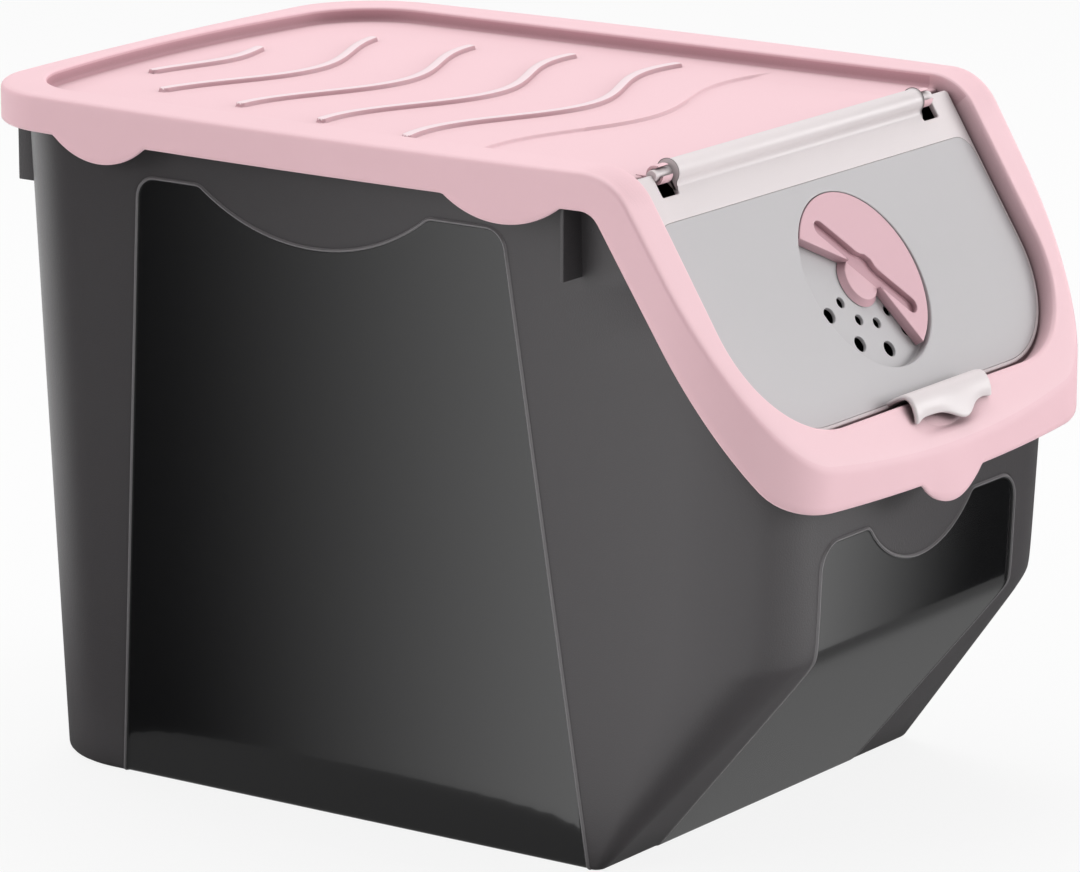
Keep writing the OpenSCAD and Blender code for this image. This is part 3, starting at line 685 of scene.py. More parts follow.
# Outline of the grey panel in x and up-the-slope distance, drawn in by an inset.
def panelLoop(inset):
    return roundedLoop(door["half"] - door["margin"] - inset, -door["end"] + door["margin"] + inset,
                       -door["band"] - inset, door["cornerR"] - door["margin"] - inset,
                       door["panelTopR"] - inset, 14, 20, 30)


# Outline of the door with its two notches, counter-clockwise in x and up-the-slope distance.
def doorLoop():
    x0, x1 = hinge["barrelHalf"], hinge["barrelHalf"] + hinge["notchWidth"]
    top, deep = -door["tabTop"], -hinge["notchEnd"]
    half, low, r = door["half"], -door["end"], door["cornerR"]
    right = [(half, top), (x1, top), (x1, deep), (x0, deep), (x0, top)]
    left = [(-x, y) for x, y in reversed(right)]
    radii = [2, 0.8, 0.8, 0.8, 0]
    corners = right + left + [(-half, low), (half, low)]
    return subdivided(softened(corners, radii + radii[::-1] + [r, r], 6), 6)


# Side view of the barrel as (s, d): a circle, open below, and the hollow fillet that touches both it
# and the door's face.
def barrelProfile():
    s0, d0, r, f, face = hinge["s"], hinge["d"], hinge["barrelR"], hinge["fillet"], door["face"]
    filletD = face - f
    filletS = s0 + sqrt((r + f) ** 2 - (d0 - filletD) ** 2)
    first = atan2(d0 - filletD, s0 - filletS)
    turn = first + (pi / 2 - first) * np.arange(9) / 8
    fillet = np.stack([filletS + f * np.cos(turn), filletD + f * np.sin(turn)], -1)[::-1]
    first = atan2(filletD - d0, filletS - s0)
    turn = first - (first + radians(240)) * np.arange(31) / 30
    bar = np.stack([s0 + r * np.cos(turn), d0 + r * np.sin(turn)], -1)
    return np.concatenate([fillet[:1] + [0.8, 0.02], fillet, bar, [[filletS, face + 1.2]]])


# The white flap: a plate with rounded edges and a pocket for the grey panel, the hinge barrel that
# runs into the plate, and the hinge pins.
def makeDoor():
    face, edge = door["face"], door["edge"]
    back, floor = face + door["thick"], face + door["inlay"] + 0.1
    outline, pocket = doorLoop(), panelLoop(0)
    cupHole = circleLoop(0, -vent["cupS"], vent["cupR"] + vent["wall"] + door["gap"])
    shape = Shape()
    rounded = roundedEdge(edge)
    steps = [(edge + 0.3, face)] + [(inset, face + depth) for inset, depth in reversed(rounded)]
    steps += [(inset, back - depth) for inset, depth in rounded] + [(edge + 0.3, back)]
    shape.walls(outline, steps, onFace)
    shape.cap([grown(outline, -edge - 0.3), grown(pocket, 0.25)], onFace(face))
    shape.walls(pocket, [(-0.25, face), (-0.08, face), (0, face + 0.1), (0, floor)], onFace)
    shape.cap([pocket, cupHole], onFace(floor))
    shape.walls(cupHole, [(0, floor), (0, back)], onFace)
    shape.cap([grown(outline, -edge - 0.3), cupHole], onFace(back), flip=True)

    profile = barrelProfile()
    bar = slopePoints(0, profile[:, 0], profile[:, 1])[:, 1:]
    prismAcross(shape, bar, -hinge["barrelHalf"], hinge["barrelHalf"], edge=0.4)
    pin = circleLoop(axisY, axisZ, hinge["pinR"], 32)
    near, far = hinge["barrelHalf"] - 2, hinge["barrelHalf"] + hinge["notchWidth"] + 0.2
    prismAcross(shape, pin, near, far, edge=0.3)
    prismAcross(shape, pin, -far, -near, edge=0.3)
    shape.make("doorFlap", ["whitePlastic"], "door", "door", sharp=50)


latch = {
    "middle": 2.9, "half": 28.1, "root": 115.8, "thick": 2.0, "tip": 125.3, "run": 14.0,
    "lobe": 5.6, "lobeAt": 7.0, "lobeWidth": 9.0, "curl": 1.2, "curlWidth": 13,
    "tooth": (1.8, 1.0), "toothWidth": 4.2,
    # side view of the middle line as (s, d): up from the door's edge, over the chin and down it
    "knots": [(0, 7.9), (-0.1, 4.0), (0.1, 0.6), (0.9, -1.9), (2.8, -3.0), (6.0, -3.1), (10.0, -2.4),
              (14.0, -1.2)],
}


# The latch lip: a strip whose side view is a smoothed line through the knots. Its length and how far
# its end curls out are sums of bell curves over x, with a tooth at each end and a lobe between them.
def makeLip():
    share = np.concatenate([[-1, -0.985, -0.95, -0.9], np.linspace(-0.87, 0.87, 71), [0.9, 0.95, 0.985, 1]])
    x = latch["middle"] + share * latch["half"]
    tip = latch["tip"] + latch["lobe"] * np.exp(-((x - latch["lobeAt"]) / latch["lobeWidth"]) ** 2)
    for side, tooth in zip((-1, 1), latch["tooth"]):
        tip += tooth * np.exp(-((share - side) * latch["half"] / latch["toothWidth"]) ** 2)
    curl = latch["curl"] * np.exp(-((x - latch["lobeAt"]) / latch["curlWidth"]) ** 2)
    knots = np.array(latch["knots"])
    arc = np.concatenate([[0], np.cumsum(np.linalg.norm(np.diff(knots, axis=0), axis=1))])
    fine = np.linspace(0, 1, 200)
    kernel = np.exp(-np.linspace(-2, 2, 25) ** 2)

    def smooth(v):
        flat = np.interp(fine, arc / arc[-1], v)
        padded = np.concatenate([2 * flat[0] - flat[12:0:-1], flat, 2 * flat[-1] - flat[-2:-14:-1]])
        return np.interp(np.linspace(0, 1, 25), fine, np.convolve(padded, kernel / kernel.sum(), "valid"))

    s, d = smooth(knots[:, 0]), smooth(knots[:, 1])
    late = np.clip((s - 1) / (latch["run"] - 1), 0, 1)
    stretch = ((tip - latch["root"]) / latch["run"])[:, None]
    line = np.stack([latch["root"] + s * (1 + (stretch - 1) * late), d - curl[:, None] * late ** 1.6], -1)
    rounded = np.sqrt(np.clip(1 - (np.clip(np.abs(share) - 0.965, 0, 1) / 0.035) ** 2, 0.02, 1))
    thick = (latch["thick"] / 2 * rounded)[:, None, None]
    along = np.gradient(line, axis=1)
    along /= np.linalg.norm(along, axis=2)[..., None]
    aside = np.stack([-along[..., 1], along[..., 0]], -1) * thick
    turns = np.radians(np.linspace(-75, 75, 7))[:, None]
    end = line[:, -1:] + np.cos(turns) * along[:, -1:] * thick * 0.9 - np.sin(turns) * aside[:, -1:]
    loop = np.concatenate([line + aside, end, (line - aside)[:, ::-1]], 1)
    rings = slopePoints(x[:, None], loop[..., 0], loop[..., 1])
    shape = Shape()
    shape.grid(rings, closeU=True, flip=True)
    whole = np.arange(rings.shape[1])[None]
    shape.add(rings[0], whole)
    shape.add(rings[-1], whole[:, ::-1])
    shape.make("latchLip", ["whitePlastic"], "door", "door")


# The grey panel: a thin inlay with a round cup, and vent holes on two rings in the cup's floor.
def makePanel():
    face, low, back = door["face"], door["face"] + vent["depth"], door["face"] + door["inlay"]
    under = low + vent["wall"]
    outline = panelLoop(door["gap"])
    rim = circleLoop(0, -vent["cupS"], vent["cupR"], 96)
    outer = circleLoop(0, -vent["cupS"], vent["cupR"] + vent["wall"], 96)
    shape = Shape()
    shape.walls(outline, [(0.35, face), (0.12, face), (0, face + 0.12), (0, back)], onFace)
    shape.cap([grown(outline, -0.35), grown(rim, 0.7)], onFace(face))
    shape.walls(rim, [(-0.7, face), (-0.4, face), (-0.15, face + 0.1), (0, face + 0.4), (0, low - 0.7),
                      (0.15, low - 0.25), (0.5, low), (0.9, low)], onFace)
    holes = [circleLoop(0, -vent["s"], vent["bore"], 32)]
    for k in (-1.5, -0.5, 0.5, 1.5):
        turn = radians(vent["middle"] + k * vent["step"])
        for ring, r in ((vent["bigRing"], vent["bigR"]), (vent["smallRing"], vent["smallR"])):
            x, y = vent["holeX"] + ring * cos(turn), -vent["holeS"] + ring * sin(turn)
            holes.append(circleLoop(x, y, r, 32))
    shape.cap([grown(rim, -0.9)] + [grown(hole, 0.3) for hole in holes], onFace(low))
    for hole in holes:
        shape.walls(hole, [(-0.3, low), (-0.1, low + 0.04), (0, low + 0.2), (0, under)], onFace)
    shape.cap([grown(outer, -0.5)] + holes, onFace(under), flip=True)
    shape.walls(outer, [(0.5, under), (0.15, under), (0, under - 0.15), (0, back)], onFace, flip=False)
    shape.cap([outline, outer], onFace(back), flip=True)
    shape.make("doorPanel", ["greyPlastic"], "door", "door_panel", sharp=50)


dial = {
    "turn": radians(-49.5), "gap": 0.3, "edge": 7.6, "edgeAtHub": -1.4, "hubR": 9.3, "hubDrop": 1.8,
    "hubSpread": 2.0, "grooveY": 5.2, "grooveHalf": 26.2, "grooveWidth": 6.8, "grooveDepth": 2.4,
    "flareHalf": 4.2, "flare": 2.0, "round": 0.35, "pivotR": 3.0, "snapOut": 1.3, "snapThick": 1.2,
}


# The half-disc: its top face is one outline that leaves out the groove and the hub, with walls down to
# the groove's floor and the hub's top, and one wall all round down to the underside. The pivot under it
# is a profile turned round the dial's axis.
def makeDial():
    radius, r, hubR = vent["r"] - dial["gap"], dial["round"], dial["hubR"]
    top, bottom = door["face"], door["face"] + vent["depth"] - dial["gap"]
    hubTop, grooveTop = top + dial["hubDrop"], top + dial["grooveDepth"]
    grooveY, grooveR = dial["grooveY"], dial["grooveWidth"] / 2

    def place(d):
        c, s = cos(dial["turn"]), sin(dial["turn"])
        return lambda q: slopePoints(q[:, 0] * c - q[:, 1] * s, vent["s"] - (q[:, 0] * s + q[:, 1] * c), d)

    def arcFrom(r, start, stop, count, x=0, y=0):
        return arcPoints(x, y, r, np.degrees(np.linspace(start, stop, count)))

    side = asin(dial["edge"] / radius)
    bigArc = arcFrom(radius, -side, pi + side, 90)
    hubLow, hubHigh = asin(dial["edgeAtHub"] / hubR), asin((grooveY - grooveR) / hubR)
    left = arcFrom(hubR, pi + hubLow, pi - hubHigh, 12)      # from the lower edge up to the groove
    right = arcFrom(hubR, hubHigh, -hubLow, 12)
    leftEnd = arcFrom(grooveR, -pi / 2, -3 * pi / 2, 13, -dial["grooveHalf"], grooveY)
    rightEnd = arcFrom(grooveR, pi / 2, -pi / 2, 13, dial["grooveHalf"], grooveY)
    high, f = grooveY + grooveR, dial["flareHalf"]
    notch = [(-f - 2.2, high), (-f, high + 0.5), (-f + 2.4, high + dial["flare"]),
             (f - 2.4, high + dial["flare"]), (f, high + 0.5), (f + 2.2, high)]
    face = subdivided(dropDoubles(np.concatenate([bigArc, left, leftEnd, notch, rightEnd, right])), 3)
    groove = subdivided(dropDoubles(np.concatenate([left[-1:], leftEnd, notch, rightEnd, right[:1]])), 3)
    hub = dropDoubles(arcFrom(hubR, -pi - hubHigh, hubHigh, 60))
    whole = np.concatenate([bigArc, arcFrom(hubR, pi + hubLow, 2 * pi - hubLow, 30)])
    whole = subdivided(dropDoubles(whole), 3)

    shape = Shape()
    shape.cap([grown(face, -r - 0.2)], place(top))
    steps = [(r + 0.2, top)] + [(inset, top + depth) for inset, depth in reversed(roundedEdge(r))]
    shape.walls(face, steps + [(0, grooveTop + 0.3)], place)
    # painted shade: the groove's floor takes the darker pink
    shape.cap([groove], place(grooveTop), kind=1)
    shape.cap([grown(hub, -0.5)], place(hubTop))
    shape.walls(hub, [(0.5, hubTop), (0.25, hubTop + 0.02), (0, hubTop + 0.3), (-0.3, hubTop + 0.8),
                      (-dial["hubSpread"], bottom)], place)
    shape.walls(whole, [(0.05, grooveTop + 0.2), (0.05, bottom)], place)
    shape.cap([grown(whole, -0.05)], place(bottom), flip=True)

    under = door["face"] + vent["depth"] + vent["wall"] + dial["gap"]
    pivotR, out, end = dial["pivotR"], dial["pivotR"] + dial["snapOut"], under + dial["snapThick"]
    profile = np.array([(pivotR, bottom - 0.3), (pivotR, under), (out - 0.2, under), (out, under + 0.2),
                        (out - 0.5, end), (out - 0.7, end), (0.01, end)])
    inward = np.array([0, sin(angle), -cos(angle)])
    turn = 2 * pi * np.arange(32)[:, None] / 32
    ring = np.cos(turn) * [1, 0, 0] + np.sin(turn) * np.cross(inward, [1, 0, 0])
    points = slopePoints(0, vent["s"], 0) + profile[:, None, :1] * ring + profile[:, None, 1:] * inward
    shape.grid(points, closeU=True)
    shape.make("ventDial", ["dialPlastic", "grooveShade"], "dial", "vent_dial", sharp=50)


makeDoor()
makeLip()
makePanel()
makeDial()
print("door made")

tub = {
    "half": 112.77, "rear": 183.98, "draft": tan(radians(1.8)), "knee": 87, "kneeY": -179, "footRun": 73,
    "frontDraft": tan(radians(2.4)), "footR": 3, "frontR": 38, "rearR": 42, "baseRound": 2.2, "kneeRound": 5,
    "flangeTop": 1.9, "flange": 3, "flangeInset": 2.4, "wall": 2, "floor": 2.4,
    "frameClear": 12.0, "frameFrom": -140, "frameTo": -112, "frameGap": 2.3,
    "arc": 14, "side": 64, "front": 36, "rearEnd": 36, "kneeFrom": 60,
    # heights of the rows above the rounded base, close together at the knee
    "rows": [8, 20, 40, 60, 72, 78, 81, 83, 85, 86, 87, 88, 89, 91, 93, 96, 102, 110],
    "innerRows": [160, 130, 110, 95, 87, 80, 60, 40, 20, 8],
}
quarter = (pi / 2) * np.arange(5) / 4
lowRows = np.concatenate([tub["baseRound"] * (1 - np.cos(quarter)), tub["rows"]])
cornerTurn = (pi / 2) * np.arange(tub["arc"] + 1) / tub["arc"]


def baseInset(z):      # quarter circle at the base
    r = tub["baseRound"]
    return r - np.sqrt(np.maximum(r * r - (r - np.clip(z, 0, r)) ** 2, 0))


# The front wall's y: a slanted and a nearly upright line, blended by a hyperbola at the knee.
def tubFrontY(z):
    z = np.asarray(z, float)
    low = tub["kneeY"] + tub["footRun"] * (tub["knee"] - z) / tub["knee"]
    high = tub["kneeY"] - tub["frontDraft"] * (z - tub["knee"])
    return (low + high) / 2 + np.sqrt(((low - high) / 2) ** 2 + (tub["kneeRound"] / 4) ** 2) + baseInset(z)


def tubHalf(z):      # half the width, which grows with the draft
    return tub["half"] + np.asarray(z, float) * tub["draft"] - baseInset(z)


def tubRear(z):
    return tub["rear"] + np.asarray(z, float) * tub["draft"] - baseInset(z)


# Radius of the front corners: it grows evenly up to the knee and then eases off.
def tubFrontR(z):
    f = np.clip(np.asarray(z, float) / tub["knee"], 0, 1)
    eased = 0.9 + 0.1 * (1 - (1 - (f - 0.9) / 0.1) ** 2) * 0.5 + 0.05 * (f - 0.9) / 0.1
    return tub["footR"] + (tub["frontR"] - tub["footR"]) * np.where(f > 0.9, eased, f)


def bowRear(x, y):      # bows the rear outwards with the square of x
    v = np.maximum(y / hood["halfLength"], 0)
    return y - v * (x / hood["halfWidth"]) ** 2 * hood["rearBow"]


# x and y on the left-hand corners, at turns from the side (0) to the end (a right angle).
def cornerPoint(z, turn, front):
    half = tubHalf(z)
    r, y = (tubFrontR(z), tubFrontY(z)) if front else (tub["rearR"], tubRear(z))
    x = -(half - r) - r * np.cos(turn)
    return (x, y + r - r * np.sin(turn)) if front else (x, bowRear(x, y - r + r * np.sin(turn)))


# Heights at which the wall meets a line given as z over y: the mean of both sides, taken 40 times.
def meetingHeights(count, yAt, line):
    z = np.full(count, 250.0)
    for _ in range(40):
        z = (z + line(yAt(z))) / 2
    return z


def flangeTop(y):
    return hoodZ(y, tub["flangeTop"])


# Underside of the flange at the wall: lower on the slope, to pass under the lid's door frame.
def flangeUnder(y):
    ends = [tub["frameFrom"], tub["frameTo"]]
    return hoodZ(y, np.interp(y, ends, [tub["frameClear"] + 0.6, tub["flangeTop"] + tub["flange"]]))


def shares(count):      # the inner points of an evenly divided line
    return np.arange(1, count) / count


# The tub's plan with one height for each point, from the rear-right corner round by the left: four
# corners, each followed by a straight.
def tubPlan(z):
    counts = [len(cornerTurn), tub["rearEnd"] - 1, len(cornerTurn), tub["side"] - 1] * 2
    counts[5] = tub["front"] - 1
    z = np.split(z, np.cumsum(counts)[:-1])
    rightX, rightY = cornerPoint(z[0], cornerTurn, False)
    leftX, leftY = cornerPoint(z[2], cornerTurn[::-1], False)
    frontX, frontY = cornerPoint(z[4], cornerTurn, True)
    lastX, lastY = cornerPoint(z[6], cornerTurn[::-1], True)
    rearX = -rightX[-1] * (1 - 2 * shares(tub["rearEnd"]))
    sideY = leftY[-1] + (frontY[0] - leftY[-1]) * shares(tub["side"])
    x = [-rightX, rearX, leftX, -tubHalf(z[3]), frontX, frontX[-1] * (1 - 2 * shares(tub["front"])), -lastX,
         tubHalf(z[7])]
    y = [rightY, bowRear(rearX, tubRear(z[1])), leftY, sideY, frontY, tubFrontY(z[5]), lastY, sideY[::-1]]
    return np.concatenate(x), np.concatenate(y)


# The plan at a height, or where the wall meets a line, drawn in by an inset.
def tubRing(z, inset, line=None):
    count = 4 * len(cornerTurn) + tub["rearEnd"] + tub["front"] + 2 * tub["side"] - 4
    z = np.full(count, float(z)) if line is None else meetingHeights(count, lambda z: tubPlan(z)[1], line)
    p = np.column_stack([*tubPlan(z), z])
    if inset:
        p[:, :2] = grown(p[:, :2], -inset)
    if inset and line:
        p[:, 2] = line(p[:, 1])
    return p


sidePanel = {
    "rear": 112, "front": -66, "top": 252, "rearRun": 18, "frontRun": -35, "round": 9,
    "scallopAt": 25, "scallopHalf": 56, "scallop": 19, "kink": 6,
}
frontPanel = {
    "rear": 72, "front": -72, "top": 134, "rearRun": 0, "frontRun": 0, "round": 11,
    "scallopAt": 0, "scallopHalf": 38, "scallop": 19, "kink": 5,
}
bead = {
    "away": [-1.3, -0.9, -0.55, -0.2, 0.2, 0.55, 0.8, 1.15],      # distances from the panel's line
    "high": [-0.55, -0.4125, 0.15, 0.75, 0.75, 0.2, -0.12, 0],    # the lower field, the bead and the wall
    "glossEnd": -0.5, "beadEnd": 0.75,
}


# Outline of a gloss panel on its wall: upright or leaning sides, and a round scallop in its top edge.
def panelOutline(panel):
    top, below, half, depth = panel["top"], -8, panel["scallopHalf"], panel["scallop"]
    r = (half * half + depth * depth) / (2 * depth)
    turn = asin(half / r) * np.linspace(-1, 1, 29)
    arc = np.stack([panel["scallopAt"] + r * np.sin(turn), top - depth + r * (1 - np.cos(turn))], -1)
    stretch = (top - below) / top
    low = [(panel["front"] + panel["frontRun"] * stretch, below),
           (panel["rear"] + panel["rearRun"] * stretch, below)]
    corners = np.concatenate([low, [(panel["rear"], top)], arc[::-1], [(panel["front"], top)]])
    radii = [0, 0, panel["round"], panel["kink"]] + [0] * (len(arc) - 2) + [panel["kink"], panel["round"]]
    return subdivided(dropDoubles(softened(corners, radii, 9)), 5)


# A flat stretch of wall with its gloss panel: triangles along the outline, along lines beside the
# panel's edge and along rows, raised by a height that is a function of the distance from that edge.
def panelledWall(shape, outline, panel, rows, place, flip):
    beside = [bead["away"][0] - 0.6] + bead["away"] + [bead["away"][-1] + 0.6]
    lines = [(outline, True)] + [(grown(panel, away), True) for away in beside]
    low, high = outline.min(0), outline.max(0)
    across = np.linspace(low[0] - 5, high[0] + 5, max(int((high[0] - low[0]) / 12), 2))
    lines += [(np.column_stack([across, np.full(len(across), z)]), False) for z in rows]
    flat, tri = triangles(lines, [], flip, 1e-4)
    middle = distanceTo(flat[tri].mean(1), panel)
    # painted highlight: faces along the bead take the lighter, glossier grey
    kind = np.where(middle < bead["glossEnd"], 1, np.where(middle < bead["beadEnd"], 3, 0))
    shape.add(place(flat, np.interp(distanceTo(flat, panel), bead["away"], bead["high"])), tri, kind)


# The tub's walls: corners as rows of heights by turns round the corner, a bowed rear, and the flat
# sides and front with their panels. A front panel's height is laid off square to the slanted wall.
def makeTub():
    shape = Shape()

    def cornerGrid(front):
        top = meetingHeights(len(cornerTurn), lambda z: cornerPoint(z, cornerTurn, front)[1], flangeUnder)
        upper = lowRows[-1] + (top - lowRows[-1]) * np.linspace(0.2, 1, 5)[:, None]
        z = np.concatenate([np.repeat(lowRows[:, None], len(top), 1), upper])
        return np.stack([*cornerPoint(z, cornerTurn, front), z], -1)

    frontCorner, rearCorner = cornerGrid(True), cornerGrid(False)
    mirror = np.array([-1, 1, 1])
    shape.grid(frontCorner)
    shape.grid(frontCorner * mirror, flip=True)
    shape.grid(rearCorner, flip=True)
    shape.grid(rearCorner * mirror)

    f = np.linspace(0, 1, tub["rearEnd"] + 1)
    x = rearCorner[:, -1:, 0] * (1 - 2 * f)
    z = np.repeat(rearCorner[:, -1, 2:], len(f), 1)
    rear = np.stack([x, bowRear(x, tubRear(z)), z], -1)
    rear[-1, :, 2] = flangeUnder(rear[-1, :, 1])
    shape.grid(rear, flip=True)

    # outlines run along the top, down an edge, along the base and up the other edge
    def outlineOf(first, last, topZ, count):
        top = np.linspace(first[-1, 0], last[-1, 0], count + 1)[1:-1]
        base = np.linspace(last[0, 0], first[0, 0], count + 1)[1:-1]
        return np.concatenate([first, np.column_stack([top, topZ(top)]), last[::-1],
                               np.column_stack([base, np.zeros(len(base))])])[::-1]

    rows = lowRows[1:5]
    outline = outlineOf(frontCorner[:, 0, 1:], rearCorner[:, 0, 1:], flangeUnder, tub["side"])
    for side in (-1, 1):
        def place(q, high):
            return np.column_stack([side * (tubHalf(q[:, 1]) + high), q])
        panelledWall(shape, outline, panelOutline(sidePanel), rows, place, flip=side < 0)

    def placeFront(q, high):
        x, z = q.T
        run = tubFrontY(z + 0.5) - tubFrontY(z - 0.5)
        out = high / np.sqrt(1 + run * run)
        return np.column_stack([x, tubFrontY(z) - out, z - out * run])

    left = frontCorner[:, -1, ::2]
    outline = outlineOf(left, left * [-1, 1], lambda x: np.full(len(x), left[-1, 1]), tub["front"])
    kneeRows = lowRows[lowRows >= tub["kneeFrom"]]
    panelledWall(shape, outline, panelOutline(frontPanel), [*rows, *kneeRows], placeFront, flip=False)

    shape.cap([tubRing(0, 0)[:, :2]], lambda q: np.column_stack([q, np.zeros(len(q))]), flip=True)
    makeRim(shape)
    darks = ["tubGrained", "tubGloss", "tubInside", "tubBeadHighlight"]
    shape.make("tubShell", darks, "tub", "tub", sharp=55)


# The flange under the lid, the inner wall and the floor: rings from the flange's underside, over its
# edge and down inside.
def makeRim(shape):
    wall = tubRing(0, 0, flangeUnder)
    plan = hoodOutline(tub["flangeInset"], tub["arc"], tub["side"], tub["front"])
    normal = loopNormals(plan)
    top, low = tub["flangeTop"], tub["flangeTop"] + tub["flange"]
    rings = [wall]
    for inset, depth in ((0.8, low), (0.2, low - 0.4), (0, low - 1),
                         (0, top + 0.8), (0.3, top + 0.2), (1, top)):
        p = plan - normal * inset
        rings.append(np.column_stack([p, hoodZ(p[:, 1], depth)]))
    inner = tubRing(0, tub["wall"], flangeTop)[:, :2]
    lip = grown(inner, 0.8)

    # the flange stops where it meets the lid's door frame, and the rim runs on below that frame
    start = rings[-1][:, :2]
    frameEdge = recessOutline()
    free, still = np.zeros(len(lip)), np.ones(len(lip), bool)
    for f in np.linspace(0, 1, 25):
        p = start + (lip - start) * f
        s = (cornerY - p[:, 1]) * cos(angle) + (hoodTop - flangeTop(p[:, 1])) * sin(angle)
        u = np.where(p[:, 1] < bendY - bendR * sin(angle), uOfSlope(s), uOfY(p[:, 1]))
        still &= distanceTo(np.stack([p[:, 0], u], -1), frameEdge) > tub["frameGap"]
        free[still] = f
    lowered = np.where(free < 0.99, tub["frameClear"], top)
    edge = start + (lip - start) * (free * 0.98)[:, None]
    foot = start + (lip - start) * (free * 0.98 + 0.015)[:, None]
    for p, depth in ((edge, top), (foot, lowered), (lip, lowered), (inner, lowered + 0.8)):
        rings.append(np.column_stack([p, hoodZ(p[:, 1], depth)]))
    last = len(rings)
    for z in [*tub["innerRows"], tub["floor"] + 1.5]:
        rings.append(tubRing(z, tub["wall"]))
    floor = tubRing(tub["floor"], tub["wall"] + 1)
    rings = np.array(rings + [floor])
    drop = 0.5 * np.arange(1, len(rings) - last)[:, None]
    rings[last:-1, :, 2] = np.minimum(rings[last:-1, :, 2], rings[last - 1, :, 2] - drop)
    shape.grid(rings, closeU=True, kind=2)
    shape.cap([floor[:, :2]], lambda q: np.column_stack([q, np.full(len(q), tub["floor"])]), kind=2)


ribs = {"thick": 1.6, "low": 238, "top": 6, "sideY": -102, "rearX": 98, "inset": 3}


# Nesting ribs: thin upright plates under the flange, at the sides and the rear.
def makeRibs():
    shape = Shape()
    t = ribs["thick"] / 2

    def level(z):
        return lambda q: np.column_stack([q, np.full(len(q), z)])

    def plate(x0, x1, y0, y1):
        p = softened([(x0, y0), (x1, y0), (x1, y1), (x0, y1)], [0.5] * 4, 30)
        low, top = ribs["low"], hoodTop - ribs["top"]
        shape.walls(p, [(0.45, low), (0.12, low + 0.12), (0, low + 0.45), (0, top)], level, flip=False)
        shape.cap([grown(p, -0.45)], level(low), flip=True)
        shape.cap([p], level(top))

    y = ribs["sideY"]
    inner = float(tubHalf(ribs["low"])) - 1
    outer = hood["halfWidth"] - hood["sideBow"] * (y / hood["halfLength"]) ** 2 - ribs["inset"]
    plate(inner, outer, y - t, y + t)
    plate(-outer, -inner, y - t, y + t)
    bow = hood["rearBow"] * (ribs["rearX"] / hood["halfWidth"]) ** 2
    rearOuter = hood["halfLength"] - bow - ribs["inset"] - 1
    for x in (-ribs["rearX"], ribs["rearX"]):
        plate(x - t, x + t, tub["rear"] - 8, rearOuter)
    shape.make("nestingRibs", ["tubGrained"], "tub", "tub", sharp=50)


makeTub()
makeRibs()
print("tub made")

stage = {      # metres and levels of brightness
    "floorHalf": 6.0, "floorReach": (0.2, 0.7), "floorLevel": (0.19, 1.4), "floorWhite": 0.86,
    "sideCard": -0.146, "sideFade": (-0.17, 0.15), "sideLevel": (1.4, 0.0),
    "frontCard": -0.212, "frontFade": (-0.05, 0.11), "frontLevel": (0.75, 0.0),
    "dimSide": (-0.7, -0.71, 0.0), "dimFrom": (0.1, 0.95), "skyLevel": (0.66, 0.18), "aim": (0, 0, 0.15),
}
lamps = {      # place, size, power
    "keyLight": ((0.5, 0.6, 2.4), (1.6, 1.6), 26),
    "frontLight": ((1.9, -2.1, 0.7), (1.6, 1.0), 42),
    "leftLight": ((-2.2, 0.8, 0.8), (1.2, 1.2), 12),
}


# A value that eases from one level to another while another value crosses a reach.
def eased(tree, value, reach, level):
    return addNode(tree, "MapRange", {"Value": value, "From Min": reach[0], "From Max": reach[1],
                                      "To Min": level[0], "To Max": level[1]},
                   interpolation_type="SMOOTHSTEP").outputs["Result"]


# An emission that fades along one of the object's own axes.
def fading(tree, axis, reach, level):
    place = addNode(tree, "TexCoord").outputs["Object"]
    split = addNode(tree, "SeparateXYZ", {0: place})
    return addNode(tree, "Emission", {"Strength": eased(tree, split.outputs[axis], reach, level)}).outputs[0]


def mixed(tree, share, first, second):      # two shaders, by a share of the second
    return addNode(tree, "MixShader", {"Fac": share, 1: first, 2: second}).outputs[0]


# A flat stage piece with one face and a material of its own, and that material's nodes.
def stageSheet(name, corners):
    data = bpy.data.meshes.new(name)
    data.from_pydata(corners, [], [(0, 1, 2, 3)])
    sheet = bpy.data.objects.new(name, data)
    bpy.context.scene.collection.objects.link(sheet)
    material = bpy.data.materials.new(name + "Paper")
    material.use_nodes = True
    data.materials.append(material)
    return sheet, material.node_tree


# A pale board beside the bin that only its glossy surfaces see, with a light that fades along it.
def makeCard(name, start, end, low, high, axis, reach, level):
    card, tree = stageSheet(name, [(*start, low), (*end, low), (*end, high), (*start, high)])
    card.visible_camera = card.visible_diffuse = card.visible_shadow = card.visible_transmission = False
    tree.links.new(fading(tree, axis, reach, level), tree.nodes["Material Output"].inputs["Surface"])


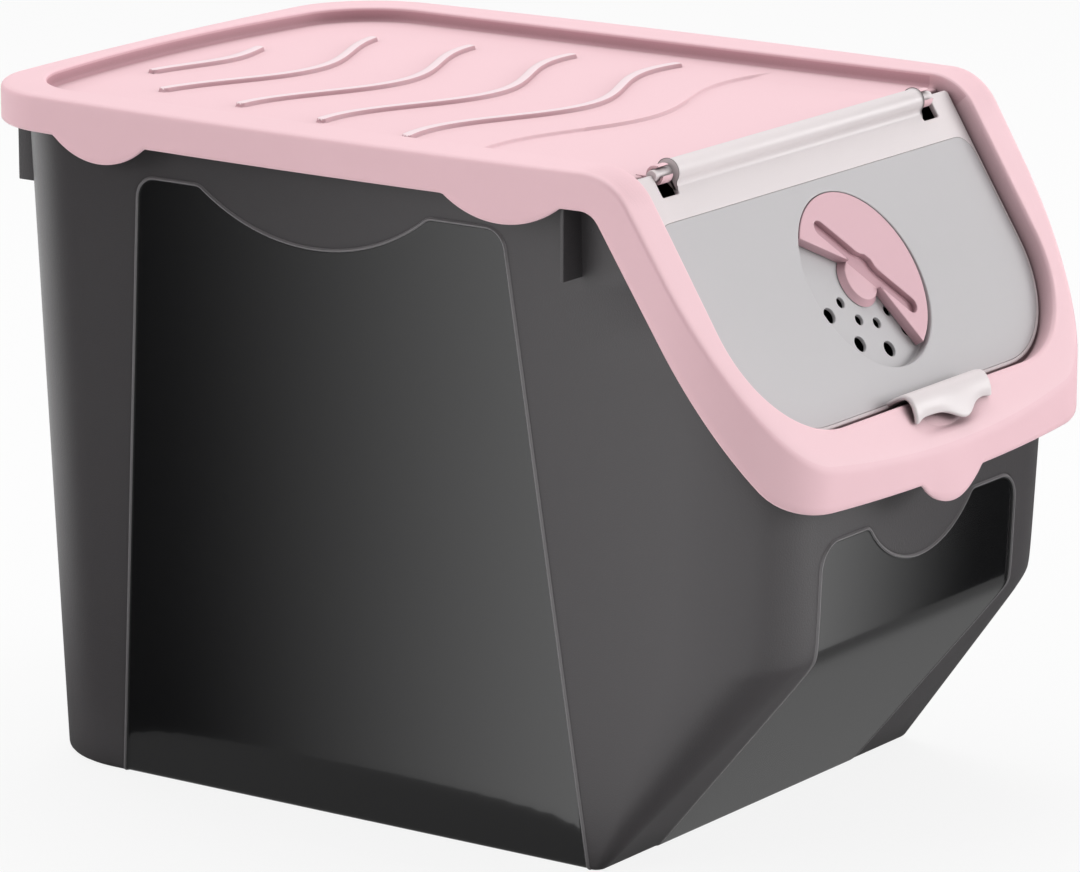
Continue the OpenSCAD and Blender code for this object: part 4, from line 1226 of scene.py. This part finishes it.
# A pale floor that shows white to the camera but keeps a soft shadow. Glossy surfaces see it dim near
# the bin and bright further back.
def makeFloor():
    reach = stage["floorHalf"]
    corners = [(-reach, -reach, 0), (reach, -reach, 0), (reach, reach, 0), (-reach, reach, 0)]
    floor, tree = stageSheet("floor", corners)
    paper = tree.nodes["Principled BSDF"]
    paper.inputs["Base Color"].default_value = (0.8, 0.8, 0.8, 1)
    paper.inputs["Roughness"].default_value = 0.9
    path = addNode(tree, "LightPath").outputs
    white = addNode(tree, "Emission").outputs[0]
    share = sumNode(tree, "MULTIPLY", path["Is Camera Ray"], stage["floorWhite"])
    seen = mixed(tree, share, paper.outputs[0], white)
    mirrored = fading(tree, "Y", stage["floorReach"], stage["floorLevel"])
    surface = mixed(tree, path["Is Glossy Ray"], seen, mirrored)
    tree.links.new(surface, tree.nodes["Material Output"].inputs["Surface"])


# White to the camera; the light it gives is dimmer in the direction away from the white backdrop.
def makeWorld():
    world = bpy.data.worlds.new("studio")
    bpy.context.scene.world = world
    world.use_nodes = True
    tree = world.node_tree
    place = addNode(tree, "TexCoord").outputs["Generated"]
    dim = Vector(stage["dimSide"]).normalized()
    toDim = addNode(tree, "VectorMath", {0: place, 1: dim}, operation="DOT_PRODUCT").outputs["Value"]
    light = tree.nodes["Background"]
    light.inputs["Color"].default_value = (1, 1, 1, 1)
    tree.links.new(eased(tree, toDim, stage["dimFrom"], stage["skyLevel"]), light.inputs["Strength"])
    white = addNode(tree, "Background", {"Color": (1, 1, 1, 1), "Strength": 1.0}).outputs[0]
    seen = addNode(tree, "LightPath").outputs["Is Camera Ray"]
    tree.links.new(mixed(tree, seen, light.outputs[0], white), tree.nodes["World Output"].inputs["Surface"])


# A lamp with a flat rectangular face that looks at the bin's middle.
def makeLamp(name, place, size, power):
    data = bpy.data.lights.new(name, "AREA")
    data.shape = "RECTANGLE"
    data.size, data.size_y = size
    data.energy = power
    lamp = bpy.data.objects.new(name, data)
    bpy.context.scene.collection.objects.link(lamp)
    lamp.location = place
    lamp.rotation_euler = (Vector(stage["aim"]) - Vector(place)).to_track_quat("-Z", "Y").to_euler()


makeFloor()
sideX, frontY = stage["sideCard"], stage["frontCard"]
makeCard("sideCard", (sideX, -0.5), (sideX, 0.25), 0.001, 0.4, "Y", stage["sideFade"], stage["sideLevel"])
makeCard("frontCard", (-0.1, frontY), (0.25, frontY), 0.06, 0.3, "X", stage["frontFade"],
         stage["frontLevel"])
makeWorld()
for name, values in lamps.items():
    makeLamp(name, *values)
bpy.context.scene.view_settings.view_transform = "Standard"
print("stage lit")
